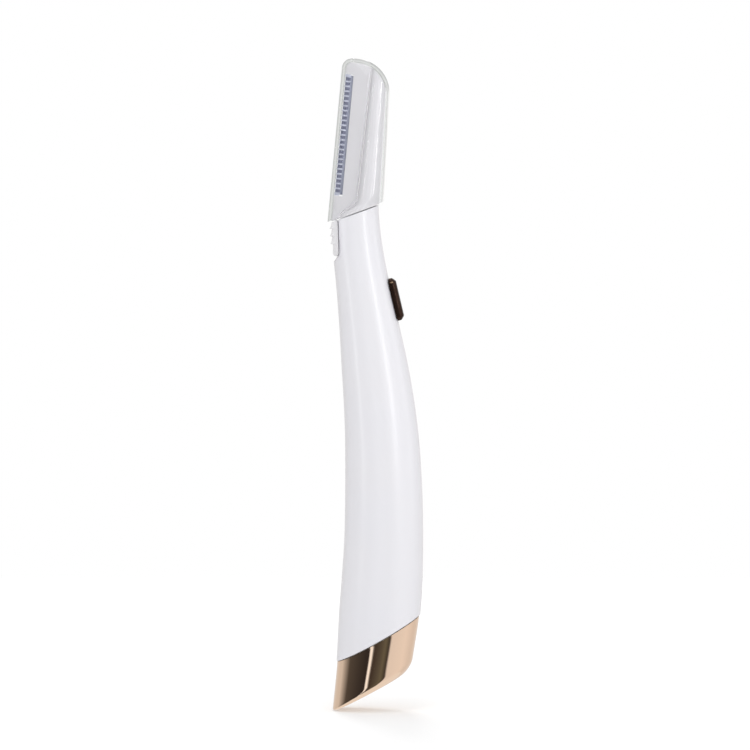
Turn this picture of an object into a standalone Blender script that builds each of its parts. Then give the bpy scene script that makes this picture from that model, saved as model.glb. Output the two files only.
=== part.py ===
"""A lighted facial hair remover: curved two-shell handle, battery cap, slide switch, blade head and clear cap.

Metres, +Z up along the tool, +X towards the switch, -X towards the blade, Y across the tool.
The origin is under the middle of the tool, level with its lowest tip.
"""

import math

import bmesh
import bpy
import numpy as np
from mathutils import Matrix, Vector

# Clearances
SEAT_GAP = 0.0003  # between pieces that rest on each other
SEAM_GAP = 0.0002  # between the two handle shells

# Body outline: height as a share of the neck seam's height, front edge, back edge, half thickness
BODY_STATIONS = (
    (0.000000, -0.01140, 0.0082, 0.0070),
    (0.099040, -0.01015, 0.0099, 0.0077),
    (0.190462, -0.00950, 0.0117, 0.0080),
    (0.342831, -0.00810, 0.01245, 0.0081),
    (0.457108, -0.00785, 0.0121, 0.0079),
    (0.571385, -0.00800, 0.0109, 0.0073),
    (0.685662, -0.00880, 0.0085, 0.0065),
    (0.777084, -0.00950, 0.00585, 0.0058),
    (0.853268, -0.01030, 0.00355, 0.0053),
    (0.914216, -0.01110, 0.0020, 0.00495),
    (0.975164, -0.01140, 0.0010, 0.0048),
    (1.036112, -0.01140, 0.0008, 0.0047),
)
BODY_ROUNDNESS = 2.35  # superellipse exponent of the handle's section
BODY_SEGMENTS = 36  # points round a full section

# Slanted cuts: height on the middle axis, and rise for each metre towards the back
END_SEAM_HEIGHT = 0.01864
END_SEAM_SLOPE = 0.561
END_SEAM_BOW = 0.0004
FOOT_HEIGHT = 0.00555
FOOT_SLOPE = 0.523
NECK_SEAM_HEIGHT = 0.13126
NECK_SEAM_SLOPE = 0.364
END_FADE = 0.0264  # length over which the sections turn level above the end cap
NECK_FADE = 0.0103  # the same below the head

# Handle shells
SHELL_WALL = 0.0012
NECK_WALL = 0.0015
HANDLE_STEPS = 21
NECK_RIB_THICKNESS = 0.0007
NECK_RIB_LAP = 0.0005  # how far the rib reaches down below the notch's foot
NECK_RIB_DROP = 0.00246  # from the neck's seam to the rib's top
NECK_RIB_REACH = 0.0043  # from the middle plane into the shell's wall

# Notch at the front of the neck, where the head's grip tail lies
NOTCH_DEPTH = 0.01226
NOTCH_FOOT = NECK_SEAM_HEIGHT - NOTCH_DEPTH
NOTCH_FACE_X = -0.0093
NOTCH_SHOULDER_SLOPE = 0.75
HEAD_LEAN = 0.035  # how far the head's slide leans to the front, for each metre up

# End cap
END_CAP_WALL = 0.0010
END_CAP_INSET = 0.00025
FOOT_ROUND_FRONT = 0.0008
FOOT_ROUND_BACK = 0.0030
FOOT_ROUND_STEPS = 4
PLUG_REACH = 0.005  # how far the inner plug enters the handle
PLUG_FOOT_LIFT = 0.0026  # from the foot plane to the plug's lower end
END_CAP_LEAN = 0.045  # how far the end cap's slide leans, for each metre

# Battery, a AAA cell
CELL_RADIUS = 0.00525
CELL_LENGTH = 0.0437
CELL_NUB_RADIUS = 0.0019
CELL_NUB_LENGTH = 0.0008
CELL_X = 0.00173
CELL_FOOT = 0.0186
ROUND_SEGMENTS = 32

# Battery carrier
TUBE_WALL = 0.0007
BULKHEAD_THICKNESS = 0.0012
TRAY_THICKNESS = 0.0010
TRAY_WIDTH = 0.0064
STEM_PLATE_WIDTH = 0.0024  # of the narrow plate between the bulkhead and the board's tray

# Contacts and battery spring
CONTACT_THICKNESS = 0.0004
CONTACT_SIZE = 0.0050
TAB_WIDTH = 0.0024
TAB_STEM_GAP = 0.000855  # from the tab's top to the plate that carries the board's tray
TAB_PROUD = 0.0022  # above the carrier's bulkhead
STRIP_WIDTH = 0.0036
STRIP_FOOT = CELL_FOOT - 2 * SEAT_GAP
STRIP_PROUD = 0.0007  # above the carrier's bulkhead
SPRING_PLATE_RADIUS = 0.0045
SPRING_ROOM = 0.0056  # from the floor under the spring to the cell's foot
SPRING_FLOOR = CELL_FOOT - SPRING_ROOM
ARM_WIDTH = 0.0030
ARM_LAP = 0.0025  # how far the arm lies along the strip
ARM_TOP = STRIP_FOOT + ARM_LAP
SPRING_WIRE_RADIUS = 0.00025
SPRING_FOOT_RADIUS = 0.0036
SPRING_TOP_RADIUS = 0.0024
SPRING_TURNS = 4
POINTS_A_TURN = 10

# Slide switch, on a board that lies along the slope of the handle's back
BUTTON_BELOW_NECK = 0.02416  # from the neck's seam down to the middle of the button
BUTTON_HEIGHT = NECK_SEAM_HEIGHT - BUTTON_BELOW_NECK
BUTTON_LENGTH = 0.0111
BUTTON_WIDTH = 0.0054
BUTTON_PROUD = 0.0018
BUTTON_BEVEL = 0.0006
BUTTON_TRAVEL = 0.0025
STEM_LENGTH = 0.0030
STEM_WIDTH = 0.0018
BUTTON_WRAP = 0.0008  # how far the button's sides reach down round the handle
FLANGE_THICKNESS = 0.0006
FLANGE_OVERLAP = 0.0010
FLANGE_DEPTH = 0.0021  # below the handle's surface, clear of the curved inner wall
BOSS_DEPTH = 0.0039
BOSS_WIDTH = 0.0030
LEVER_LENGTH = 0.0014
LEVER_WIDTH = 0.0012
LEVER_HEIGHT = 0.0013
LEVER_FOOT = 0.0011
SWITCH_LENGTH = 0.0086
SWITCH_WIDTH = 0.0036
SWITCH_THICKNESS = 0.0020
BOARD_THICKNESS = 0.0008
BOARD_WIDTH = 0.0060
BOARD_BELOW_NECK = 0.01466
BOARD_REACH_UP = BUTTON_BELOW_NECK - BOARD_BELOW_NECK
BOARD_REACH_DOWN = 0.0140
BOARD_SCREW_INSET = 0.0021
SCREW_HEAD_RADIUS = 0.0012
SCREW_HEAD_HEIGHT = 0.0007
SCREW_SHANK_RADIUS = 0.0006
SCREW_LENGTH = 0.0030
RESISTOR_RADIUS = 0.0008
RESISTOR_LENGTH = 0.0032

# Light
LED_RADIUS = 0.0015
LED_LENGTH = 0.0048
LED_BELOW_NECK = 0.00976
LED_FOOT = NECK_SEAM_HEIGHT - LED_BELOW_NECK
LED_X = -0.0022
LED_LEG_RADIUS = 0.00025
LED_LEG_SPREAD = 0.00127
LED_LEG_LAP = 0.0003  # how far the legs reach down past the board's upper end
LENS_RADIUS = 0.0016
LENS_LENGTH = 0.0026
WIRE_RADIUS = 0.0005
# Path of a lead, as shares of its rise, of its step to the side and of its way across the handle
LEAD_PATH = ((0, 0, 0), (0.05, 0.5, 0.1), (0.14, 1, 0.35), (0.45, 1, 0.6), (0.78, 1, 0.9), (1, 1, 1))

# Safety cap outline, seen from the side: top corners, their radii, and the two straight sides
CAP_RISE = 0.03854  # from the neck's seam to the front top corner
CAP_TOP_FALL = 0.0011  # from the front top corner to the back one
CAP_FRONT_FOOT_DROP = 0.00326
CAP_BACK_FOOT_RISE = 0.00254
CAP_FRONT_FOOT = (-0.01234, NECK_SEAM_HEIGHT - CAP_FRONT_FOOT_DROP)
CAP_FRONT_TOP = (-0.00840, NECK_SEAM_HEIGHT + CAP_RISE)
CAP_BACK_TOP = (0.00415, NECK_SEAM_HEIGHT + CAP_RISE - CAP_TOP_FALL)
CAP_BACK_FOOT = (0.00217, NECK_SEAM_HEIGHT + CAP_BACK_FOOT_RISE)
CAP_FRONT_RADIUS = 0.0026
CAP_BACK_RADIUS = 0.0090
CAP_WALL = 0.0008
CAP_GAP = 0.00025
CAP_LEAN = 0.0872
CAP_RUN_ON = 0.01126  # the outline runs on below the rim, which is cut along the neck's seam

# Blade head
PLATE_THICKNESS = 0.0022
SPINE_ROUNDNESS = 2.7
SPINE_BLEND_RINGS = 4  # sections over which the neck's roundness turns into the spine's
CAP_HOLLOW_ROUNDNESS = 3.0  # looser at the corners, so that the cap lifts off over the spine
# X of the spine's front edge, rise of its front and back edges as shares of the cap's rise, half thickness
SPINE_STATIONS = (
    (-0.00970, -0.083809, 0.017125, 0.00480),
    (-0.00830, -0.040477, 0.045148, 0.00476),
    (-0.00590, 0.001038, 0.076284, 0.00470),
    (-0.00475, 0.045148, 0.112610, 0.00465),
    (-0.00420, 0.135963, 0.190451, 0.00455),
    (-0.00350, 0.294240, 0.325376, 0.00435),
    (-0.00240, 0.551116, 0.564089, 0.00395),
    (-0.00150, 0.758692, 0.758692, 0.00345),
    (-0.00110, 0.862481, 0.862481, 0.00290),
    (-0.00080, 0.966269, 0.966269, 0.00160),
)
HEAD_PLUG_WIDTH = 0.0052
HEAD_PLUG_THICKNESS = 0.0026
HEAD_PLUG_LENGTH = 0.0120
TAIL_LAP = 0.0006  # how far the tail reaches down past the notch's foot
TAIL_FOOT = NOTCH_FOOT - TAIL_LAP
TAIL_ROUND = 0.0005
TAIL_FIRST_LEDGE = 0.0027  # above the notch's foot
TAIL_LEDGE_PITCH = 0.0020
TAIL_LEDGES = 3
TAIL_LEDGE_DEPTH = 0.0004

# Blade and comb guard
GUARD_RISE = 0.00294  # from the neck's seam to the guard's foot
GUARD_BELOW_TOP = 0.0041
GUARD_FOOT = NECK_SEAM_HEIGHT + GUARD_RISE
GUARD_LENGTH = CAP_RISE - GUARD_RISE - GUARD_BELOW_TOP
GUARD_WIDTH = 0.0020
GUARD_THICKNESS = 0.0012
GUARD_LEG = 0.00035
GUARD_SLOTS = 24
GUARD_SLOT_LENGTH = 0.00125
GUARD_SLOT_SHARE = 0.6  # slot height as a share of the pitch
GUARD_END = 0.0006
BLADE_THICKNESS = 0.0002
BLADE_WIDTH = 0.0036
BLADE_BEVEL = 0.0008

PARTS = bpy.data.collections.new("facial_hair_remover")
CUTTERS = bpy.data.collections.new("cutters")


def clear_scene():
    """Removes what the startup scene holds and links the two collections."""
    for old in list(bpy.data.objects):
        bpy.data.objects.remove(old)
    for collection in (PARTS, CUTTERS):
        bpy.context.scene.collection.children.link(collection)


def material(name, colour, roughness, metallic=0.0, transmission=0.0):
    """A Principled material with the given colour and finish."""
    made = bpy.data.materials.new(name)
    made.use_nodes = True
    shader = made.node_tree.nodes["Principled BSDF"]
    shader.inputs["Base Color"].default_value = (*colour, 1.0)
    shader.inputs["Roughness"].default_value = roughness
    shader.inputs["Metallic"].default_value = metallic
    shader.inputs["Transmission Weight"].default_value = transmission
    return made


def add_object(name, mesh, finish=None, parent=None):
    """Links a mesh as a part, or as a hidden cutter when it has no finish."""
    made = bpy.data.objects.new(name, mesh)
    if finish is None:
        CUTTERS.objects.link(made)
        made.hide_render = True
        made.display_type = "WIRE"
    else:
        PARTS.objects.link(made)
        mesh.materials.append(finish)
    made.parent = parent
    return made


def frame_empty(name, location, lean):
    """An empty whose Z axis leans by lean metres towards +X for each metre up."""
    made = bpy.data.objects.new(name, None)
    PARTS.objects.link(made)
    made.location = location
    made.rotation_euler = (0.0, math.atan(lean), 0.0)
    bpy.context.view_layer.update()
    return made


def hang_on(child, parent):
    """Parents a piece that was modelled in place, so that its origin moves to the parent's."""
    child.data.transform(parent.matrix_world.inverted())
    child.parent = parent


def mesh_from_bmesh(name, shape, smooth=True):
    """Faces turned outwards, and written to a new mesh."""
    bmesh.ops.recalc_face_normals(shape, faces=shape.faces)
    mesh = bpy.data.meshes.new(name)
    shape.to_mesh(mesh)
    shape.free()
    if smooth:
        mesh.shade_smooth()
        mesh.set_sharp_from_angle(angle=math.radians(35))
    return mesh


def cut(target, other, operation="DIFFERENCE", solver="EXACT"):
    """Cuts, joins or intersects a piece with another by a Boolean modifier."""
    step = target.modifiers.new(other.name, "BOOLEAN")
    step.operation = operation
    step.solver = solver
    step.object = other


def rounded(target, width, segments=2):
    """A Bevel modifier on the edges sharper than 40 degrees."""
    step = target.modifiers.new("rounded", "BEVEL")
    step.width = width
    step.segments = segments
    step.limit_method = "ANGLE"
    step.angle_limit = math.radians(40)


def box(name, low, high, finish=None, parent=None):
    """A box between two corners, in the parent's axes."""
    low, high = Vector(low), Vector(high)
    shape = bmesh.new()
    place = Matrix.Translation((low + high) / 2) @ Matrix.Diagonal((*(high - low), 1.0))
    bmesh.ops.create_cube(shape, size=1.0, matrix=place)
    return add_object(name, mesh_from_bmesh(name, shape, smooth=False), finish, parent)


def cylinder(name, radius, low, high, centre, finish=None, parent=None, axis="Z", segments=ROUND_SEGMENTS):
    """A cylinder from low to high along the axis, at the centre given by the other two coordinates."""
    turn = Matrix.Identity(4)
    if axis == "X":
        turn = Matrix.Rotation(math.pi / 2, 4, "Y")
    place = Vector(centre)
    place["XYZ".index(axis)] = (low + high) / 2
    shape = bmesh.new()
    bmesh.ops.create_cone(
        shape,
        cap_ends=True,
        segments=segments,
        radius1=radius,
        radius2=radius,
        depth=high - low,
        matrix=Matrix.Translation(place) @ turn,
    )
    return add_object(name, mesh_from_bmesh(name, shape), finish, parent)


def loft(name, rings):
    """A closed body through rings of as many points each, with a fan over each end."""
    shape = bmesh.new()
    rows = [[shape.verts.new(point) for point in ring] for ring in rings]
    count = len(rows[0])
    for lower, upper in zip(rows, rows[1:]):
        for i in range(count):
            j = (i + 1) % count
            shape.faces.new((lower[i], lower[j], upper[j], upper[i]))
    for row, ring in ((rows[0], rings[0]), (rows[-1], rings[-1])):
        middle = shape.verts.new(np.mean(ring, axis=0))
        for i in range(count):
            shape.faces.new((row[i], row[(i + 1) % count], middle))
    return mesh_from_bmesh(name, shape)


def smooth_through(height, column):
    """A body outline value at a height: a cubic curve through the stations."""
    table = np.array(BODY_STATIONS)
    heights, values = table[:, 0] * NECK_SEAM_HEIGHT, table[:, column]
    slopes = np.gradient(values, heights)
    i = np.searchsorted(heights[1:-1], height)
    span = heights[i + 1] - heights[i]
    t = (height - heights[i]) / span
    start = (1 + 2 * t) * (1 - t) ** 2 * values[i] + t * (1 - t) ** 2 * span * slopes[i]
    end = t**2 * (3 - 2 * t) * values[i + 1] + t**2 * (t - 1) * span * slopes[i + 1]
    return start + end


def body_edges(height, slope):
    """Front and back x where the plane z = height + slope x meets the outline, and the half thickness."""
    front = smooth_through(height, 1)
    back = smooth_through(height, 2)
    for _ in range(8):
        front = smooth_through(height + slope * front, 1)
        back = smooth_through(height + slope * back, 2)
    half = smooth_through(height + slope * (front + back) / 2, 3)
    return front, back, half


def section(front, back, half, inset, angles, roundness):
    """Superellipse x and y between a front and a back edge, drawn in by an inset."""
    cosine, sine = np.cos(angles), np.sin(angles)
    power = 2 / roundness
    across = np.sign(cosine) * np.abs(cosine) ** power
    x = (front + back) / 2 + ((back - front) / 2 - inset) * across
    y = (half - inset) * np.sign(sine) * np.abs(sine) ** power
    return x, y, across


def full_turn():
    """Angles of a full section's points."""
    return np.arange(BODY_SEGMENTS) * 2 * math.pi / BODY_SEGMENTS


def body_ring(height, slope, bow=0.0, inset=0.0, angles=None, notch=False):
    """Points of the body's section on a slanted plane that may bow downwards in the middle."""
    angles = full_turn() if angles is None else angles
    front, back, half = body_edges(height, slope)
    x, y, across = section(front, back, half, inset, angles, BODY_ROUNDNESS)
    if notch:
        x = np.maximum(x, notch_face(height + slope * NOTCH_FACE_X) + inset)
    z = height + slope * x - bow * (1 - across**2)
    return np.column_stack((x, y, z))


def notch_face(height):
    """Front face of the neck behind the grip tail, with a sloped shoulder at its foot."""
    face = NOTCH_FACE_X - HEAD_LEAN * (height - NOTCH_FOOT)
    shoulder = NOTCH_FACE_X - NOTCH_SHOULDER_SLOPE * (NOTCH_FOOT - height)
    return np.minimum(face, shoulder)


def handle_levels(above=0.0, below=0.0):
    """(height, slope, bow) of each handle section, the ends moved by the amounts given."""
    shoulder = [NOTCH_FOOT - 0.0025, NOTCH_FOOT - 0.002, NOTCH_FOOT - 0.001, NOTCH_FOOT]
    neck_start = NECK_SEAM_HEIGHT - NECK_FADE
    heights = [END_SEAM_HEIGHT - below]
    heights += list(np.linspace(END_SEAM_HEIGHT, shoulder[0], HANDLE_STEPS, endpoint=False)[1:])
    heights += shoulder
    heights += list(np.linspace(neck_start, NECK_SEAM_HEIGHT - above, 5))
    levels = []
    for height in heights:
        end_share = np.clip(1 - (height - END_SEAM_HEIGHT) / END_FADE, 0, 1)
        neck_share = np.clip((height - neck_start) / NECK_FADE, 0, 1)
        slope = END_SEAM_SLOPE * end_share + NECK_SEAM_SLOPE * neck_share
        levels.append((height, slope, END_SEAM_BOW * end_share**2))
    return levels


def handle_shell(name, side, finish):
    """Half of the handle on one side of the middle plane: its top is closed, its lower end open."""
    angles = np.linspace(0, math.pi, BODY_SEGMENTS // 2 + 1)
    rings = []
    for height, slope, bow in handle_levels():
        ring = body_ring(height, slope, bow, angles=angles, notch=True)
        ring[:, 1] = side * np.maximum(ring[:, 1], SEAM_GAP / 2)
        rings.append(ring)
    return add_object(name, loft(name, rings), finish)


def handle_hollow():
    """The space inside both shells, open below and one wall short of the neck's top."""
    levels = handle_levels(above=NECK_WALL, below=3 * SHELL_WALL)
    rings = [body_ring(*level, inset=SHELL_WALL, notch=True) for level in levels]
    return add_object("handle_hollow", loft("handle_hollow", rings))


def neck_rib(name, side, head):
    """The rib behind the head's plug, which keeps it against the front wall of the neck."""
    front = HEAD_PLUG_THICKNESS + SEAT_GAP
    low = [front, SEAM_GAP / 2, -NECK_RIB_LAP]
    high = [front + NECK_RIB_THICKNESS, NECK_RIB_REACH, NOTCH_DEPTH - NECK_RIB_DROP]
    if side < 0:
        low[1], high[1] = -high[1], -low[1]
    return box(name, low, high, parent=head)


def handle_shells(finish, button, head):
    """Both shells with the switch slot, the plug's socket and the light's hole cut through them."""
    hollow = handle_hollow()
    slot = box(
        "switch_slot",
        (-2 * FLANGE_DEPTH, -STEM_WIDTH / 2 - SEAT_GAP, -STEM_LENGTH / 2 - SEAT_GAP),
        (FLANGE_DEPTH, STEM_WIDTH / 2 + SEAT_GAP, STEM_LENGTH / 2 + BUTTON_TRAVEL + SEAT_GAP),
        parent=button,
    )
    socket_length = NOTCH_DEPTH + NECK_WALL
    socket = box(
        "plug_socket",
        (-1.5 * SEAT_GAP, -HEAD_PLUG_WIDTH / 2 - SEAT_GAP, 0),
        (HEAD_PLUG_THICKNESS + 1.2 * SEAT_GAP, HEAD_PLUG_WIDTH / 2 + SEAT_GAP, socket_length),
        parent=head,
    )
    lens_hole = cylinder(
        "lens_hole",
        LENS_RADIUS + SEAT_GAP / 2,
        NECK_SEAM_HEIGHT - 5 * NECK_WALL,
        NECK_SEAM_HEIGHT + NECK_WALL,
        (LED_X, 0, 0),
    )
    for name, side in (("handle_shell_left", -1), ("handle_shell_right", 1)):
        shell = handle_shell(name, side, finish)
        cut(shell, hollow)
        cut(shell, neck_rib(name + "_rib", side, head), "UNION")
        for opening in (slot, socket, lens_hole):
            cut(shell, opening, solver="MANIFOLD")


def end_cap_rings(inset, lift, rise):
    """Sections of the end cap from its rim down to a foot with rounded edges, drawn in by the inset."""
    back_share = (1 + np.cos(full_turn())) / 2
    radius = FOOT_ROUND_FRONT + (FOOT_ROUND_BACK - FOOT_ROUND_FRONT) * back_share
    radius = np.maximum(radius - (inset - END_CAP_INSET), SEAT_GAP)
    rim, foot = END_SEAM_HEIGHT + rise, FOOT_HEIGHT + lift
    rings = []
    for share in (0, 0.25, 0.5, 0.75):
        height = rim + (foot + radius - rim) * share
        slope = END_SEAM_SLOPE + (FOOT_SLOPE - END_SEAM_SLOPE) * share
        rings.append(body_ring(height, slope, END_SEAM_BOW * (1 - share), inset))
    for turn in np.linspace(0, math.pi / 2, FOOT_ROUND_STEPS + 1):
        height = foot + radius * (1 - math.sin(turn))
        drawn_in = inset + radius * (1 - math.cos(turn))
        rings.append(body_ring(height, FOOT_SLOPE, 0, drawn_in))
    return rings[::-1]


def end_cap(finish, parent):
    """The plated battery cap: a cup with a slanted rim and a slanted foot."""
    cup = add_object("end_cap", loft("end_cap", end_cap_rings(END_CAP_INSET, 0, -SEAT_GAP)), finish)
    inner = end_cap_rings(END_CAP_INSET + END_CAP_WALL, END_CAP_WALL, 2 * END_CAP_WALL)
    cut(cup, add_object("end_cap_hollow", loft("end_cap_hollow", inner)))
    hang_on(cup, parent)


def end_cap_plug(finish, parent):
    """The block fixed inside the end cap, whose top enters the handle round the battery's foot."""
    inset = END_CAP_INSET + END_CAP_WALL + SEAT_GAP
    foot, top = FOOT_HEIGHT + PLUG_FOOT_LIFT, END_SEAM_HEIGHT + PLUG_REACH
    rings = []
    for share in np.linspace(0, 1, 6):
        height = foot + (top - foot) * share
        slope = FOOT_SLOPE + (END_SEAM_SLOPE - FOOT_SLOPE) * share
        rings.append(body_ring(height, slope, inset=inset))
    plug = add_object("end_cap_plug", loft("end_cap_plug", rings), finish)
    bore_top = END_SEAM_HEIGHT + 4 * PLUG_REACH
    cut(plug, cylinder("spring_bore", CELL_RADIUS + SEAT_GAP, SPRING_FLOOR, CELL_FOOT, (CELL_X, 0, 0)))
    bore_axis = frame_empty("cell_bore_axis", (CELL_X, 0, top), END_CAP_LEAN)
    low, high = CELL_FOOT - SEAT_GAP - top, bore_top - top
    cut(plug, cylinder("cell_bore", CELL_RADIUS + 2 * SEAT_GAP, low, high, (0, 0, 0), parent=bore_axis))
    half = ARM_WIDTH / 2 + 2 * SEAT_GAP
    slot_back = strip_x() + CONTACT_THICKNESS + 2 * SEAT_GAP
    slot_front = arm_x() - SEAT_GAP
    cut(plug, box("arm_slot", (slot_front, -half, SPRING_FLOOR), (slot_back, half, bore_top)))
    channel_top = SPRING_FLOOR + CONTACT_THICKNESS + 3 * SEAT_GAP
    cut(plug, box("arm_channel", (slot_front, -half, SPRING_FLOOR), (CELL_X, half, channel_top)))
    hang_on(plug, parent)


def strip_x():
    """Front face of the negative strip, which lies against the front of the battery tube."""
    return CELL_X - CELL_RADIUS - SEAT_GAP - TUBE_WALL - SEAT_GAP - CONTACT_THICKNESS


def arm_x():
    """Front face of the contact plate's arm, which touches the strip from the front."""
    return strip_x() - SEAT_GAP - CONTACT_THICKNESS


def cap_contact(finish, parent):
    """The round plate under the battery spring, with its arm up to the negative strip."""
    low, high = SPRING_FLOOR + SEAT_GAP, SPRING_FLOOR + SEAT_GAP + CONTACT_THICKNESS
    plate = cylinder("cap_contact_plate", SPRING_PLATE_RADIUS, low, high, (CELL_X, 0, 0), finish)
    half = ARM_WIDTH / 2
    cut(plate, box("contact_tongue", (arm_x(), -half, low), (CELL_X, half, high)), "UNION")
    arm_back = arm_x() + CONTACT_THICKNESS
    cut(plate, box("contact_arm", (arm_x(), -half, low), (arm_back, half, ARM_TOP)), "UNION")
    hang_on(plate, parent)


def coil_points():
    """Centre line of the battery spring, which narrows towards the battery."""
    foot = SPRING_FLOOR + 2 * SEAT_GAP + CONTACT_THICKNESS + SPRING_WIRE_RADIUS
    top = CELL_FOOT - SEAT_GAP - SPRING_WIRE_RADIUS
    share = np.linspace(0, 1, SPRING_TURNS * POINTS_A_TURN + 1)
    radius = SPRING_FOOT_RADIUS + (SPRING_TOP_RADIUS - SPRING_FOOT_RADIUS) * share
    angle = 2 * math.pi * SPRING_TURNS * share
    return np.column_stack(
        (CELL_X + radius * np.cos(angle), radius * np.sin(angle), foot + (top - foot) * share)
    )


def wire(name, points, radius, finish, parent=None):
    """A round wire along the points, in the parent's axes, as a curve with filled ends."""
    curve = bpy.data.curves.new(name, "CURVE")
    curve.dimensions = "3D"
    curve.bevel_depth = radius
    curve.bevel_resolution = 1
    curve.use_fill_caps = True
    spline = curve.splines.new("POLY")
    spline.points.add(len(points) - 1)
    for target, point in zip(spline.points, points):
        target.co = (*point, 1.0)
    made = bpy.data.objects.new(name, curve)
    PARTS.objects.link(made)
    curve.materials.append(finish)
    made.parent = parent
    return made


def turned(name, profile, centre, finish):
    """A body turned about a vertical axis from a profile that runs down its outer side."""
    mesh = bpy.data.meshes.new(name)
    points = [(radius, 0.0, height) for radius, height in profile]
    mesh.from_pydata(points, [(i, i + 1) for i in range(len(points) - 1)], [])
    made = add_object(name, mesh, finish)
    made.location = centre
    screw = made.modifiers.new("turned", "SCREW")
    screw.steps = screw.render_steps = ROUND_SEGMENTS
    screw.use_merge_vertices = True
    screw.merge_threshold = 0.00001
    screw.use_smooth_shade = True
    return made


def battery(finish):
    """The cell: a can with its positive nub on top."""
    edge = SEAT_GAP
    profile = (
        (0, CELL_LENGTH + CELL_NUB_LENGTH),
        (CELL_NUB_RADIUS, CELL_LENGTH + CELL_NUB_LENGTH),
        (CELL_NUB_RADIUS, CELL_LENGTH),
        (CELL_RADIUS - edge, CELL_LENGTH),
        (CELL_RADIUS, CELL_LENGTH - edge),
        (CELL_RADIUS, edge),
        (CELL_RADIUS - edge, 0),
        (0, 0),
    )
    turned("battery", profile, (CELL_X, 0, CELL_FOOT), finish)


def contact_height():
    """Underside of the positive contact, above the cell's nub."""
    return CELL_FOOT + CELL_LENGTH + CELL_NUB_LENGTH + SEAT_GAP


def bulkhead_foot():
    """Underside of the carrier's bulkhead, above the positive contact."""
    return contact_height() + CONTACT_THICKNESS + SEAT_GAP


def bulkhead_top():
    """Top of the carrier's bulkhead."""
    return bulkhead_foot() + BULKHEAD_THICKNESS


def board_depth():
    """Depth of the board's outer face below the handle's surface."""
    return BOSS_DEPTH + 2 * SEAT_GAP + SWITCH_THICKNESS + SEAT_GAP


def tray_back():
    """Distance of the tray's inner face below the handle's surface, square to it."""
    return board_depth() + BOARD_THICKNESS + SEAT_GAP + TRAY_THICKNESS


def tab_x():
    """Middle of the positive tab, in front of the leaning plate that carries the tray."""
    rise = bulkhead_top() + TAB_PROUD - BUTTON_HEIGHT
    lean = button_lean()
    plate = smooth_through(BUTTON_HEIGHT, 2) - tray_back() / math.cos(math.atan(lean)) + rise * lean
    return plate - TAB_STEM_GAP - CONTACT_THICKNESS / 2


def battery_carrier(finish, button):
    """The inner frame: a battery tube, a bulkhead over it, and a narrow plate up to the board's tray."""
    bore = CELL_RADIUS + SEAT_GAP
    outer = bore + TUBE_WALL
    top = bulkhead_top()
    foot = END_SEAM_HEIGHT
    ceiling = bulkhead_foot()
    profile = ((0, top), (outer, top), (outer, foot), (bore, foot), (bore, ceiling), (0, ceiling))
    carrier = turned("battery_carrier", profile, (CELL_X, 0, 0), finish)
    slant = frame_empty("tube_slant", (0, 0, END_SEAM_HEIGHT + PLUG_REACH + 2 * SEAT_GAP), -END_SEAM_SLOPE)
    reach = 4 * CELL_RADIUS
    cut(carrier, box("tube_end", (-reach, -reach, -reach), (reach, reach, 0), parent=slant))
    gap = SEAT_GAP
    tab_low = (tab_x() - CONTACT_THICKNESS / 2 - gap, -TAB_WIDTH / 2 - gap, contact_height())
    tab_high = (tab_x() + CONTACT_THICKNESS / 2 + gap, TAB_WIDTH / 2 + gap, top + TAB_PROUD)
    cut(carrier, box("tab_hole", tab_low, tab_high))
    far = -tray_back()
    near = far + TRAY_THICKNESS
    half = TRAY_WIDTH / 2
    tray = box("tray", (far, -half, -BOARD_REACH_DOWN), (near, half, BOARD_REACH_UP), parent=button)
    length = (BUTTON_HEIGHT - top) / math.cos(math.atan(button_lean())) + BULKHEAD_THICKNESS / 2
    half = STEM_PLATE_WIDTH / 2
    stem = box("tray_stem", (far, -half, -length), (near, half, -BOARD_REACH_DOWN / 2), parent=button)
    floor = top - BULKHEAD_THICKNESS / 2
    above = box("stem_room", (-reach, -reach, floor), (reach, reach, BUTTON_HEIGHT))
    cut(stem, above, "INTERSECT")
    cut(carrier, stem, "UNION")
    cut(carrier, tray, "UNION")
    for height in board_screw_heights():
        radius = SCREW_SHANK_RADIUS + gap
        hole = cylinder("tray_hole", radius, far - gap, near + gap, (0, 0, height), parent=button, axis="X")
        cut(carrier, hole)


def button_lean():
    """Slope of the handle's back edge at the switch, in metres towards the back for each metre up."""
    step = 0.0005
    rise = smooth_through(BUTTON_HEIGHT + step, 2) - smooth_through(BUTTON_HEIGHT - step, 2)
    return rise / (2 * step)


def board_screw_heights():
    """Places of the two screws along the board."""
    return (BOARD_SCREW_INSET - BOARD_REACH_DOWN, BOARD_REACH_UP - BOARD_SCREW_INSET)


def positive_contact(finish):
    """The plate above the cell's nub, with a tab up through the bulkhead."""
    low, high = contact_height(), contact_height() + CONTACT_THICKNESS
    half = CONTACT_SIZE / 2
    tab_back = tab_x() + CONTACT_THICKNESS / 2
    back = max(CELL_X + half, tab_back)
    plate = box("positive_contact", (CELL_X - half, -half, low), (back, half, high), finish)
    tab_low = (tab_back - CONTACT_THICKNESS, -TAB_WIDTH / 2, low)
    tab_high = (tab_back, TAB_WIDTH / 2, bulkhead_top() + TAB_PROUD)
    tab = box("contact_tab", tab_low, tab_high)
    cut(plate, tab, "UNION")


def negative_strip(finish):
    """The long strip that carries the end cap's contact up past the battery."""
    low = (strip_x(), -STRIP_WIDTH / 2, STRIP_FOOT)
    high = (strip_x() + CONTACT_THICKNESS, STRIP_WIDTH / 2, bulkhead_top() + STRIP_PROUD)
    box("negative_strip", low, high, finish)


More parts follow.
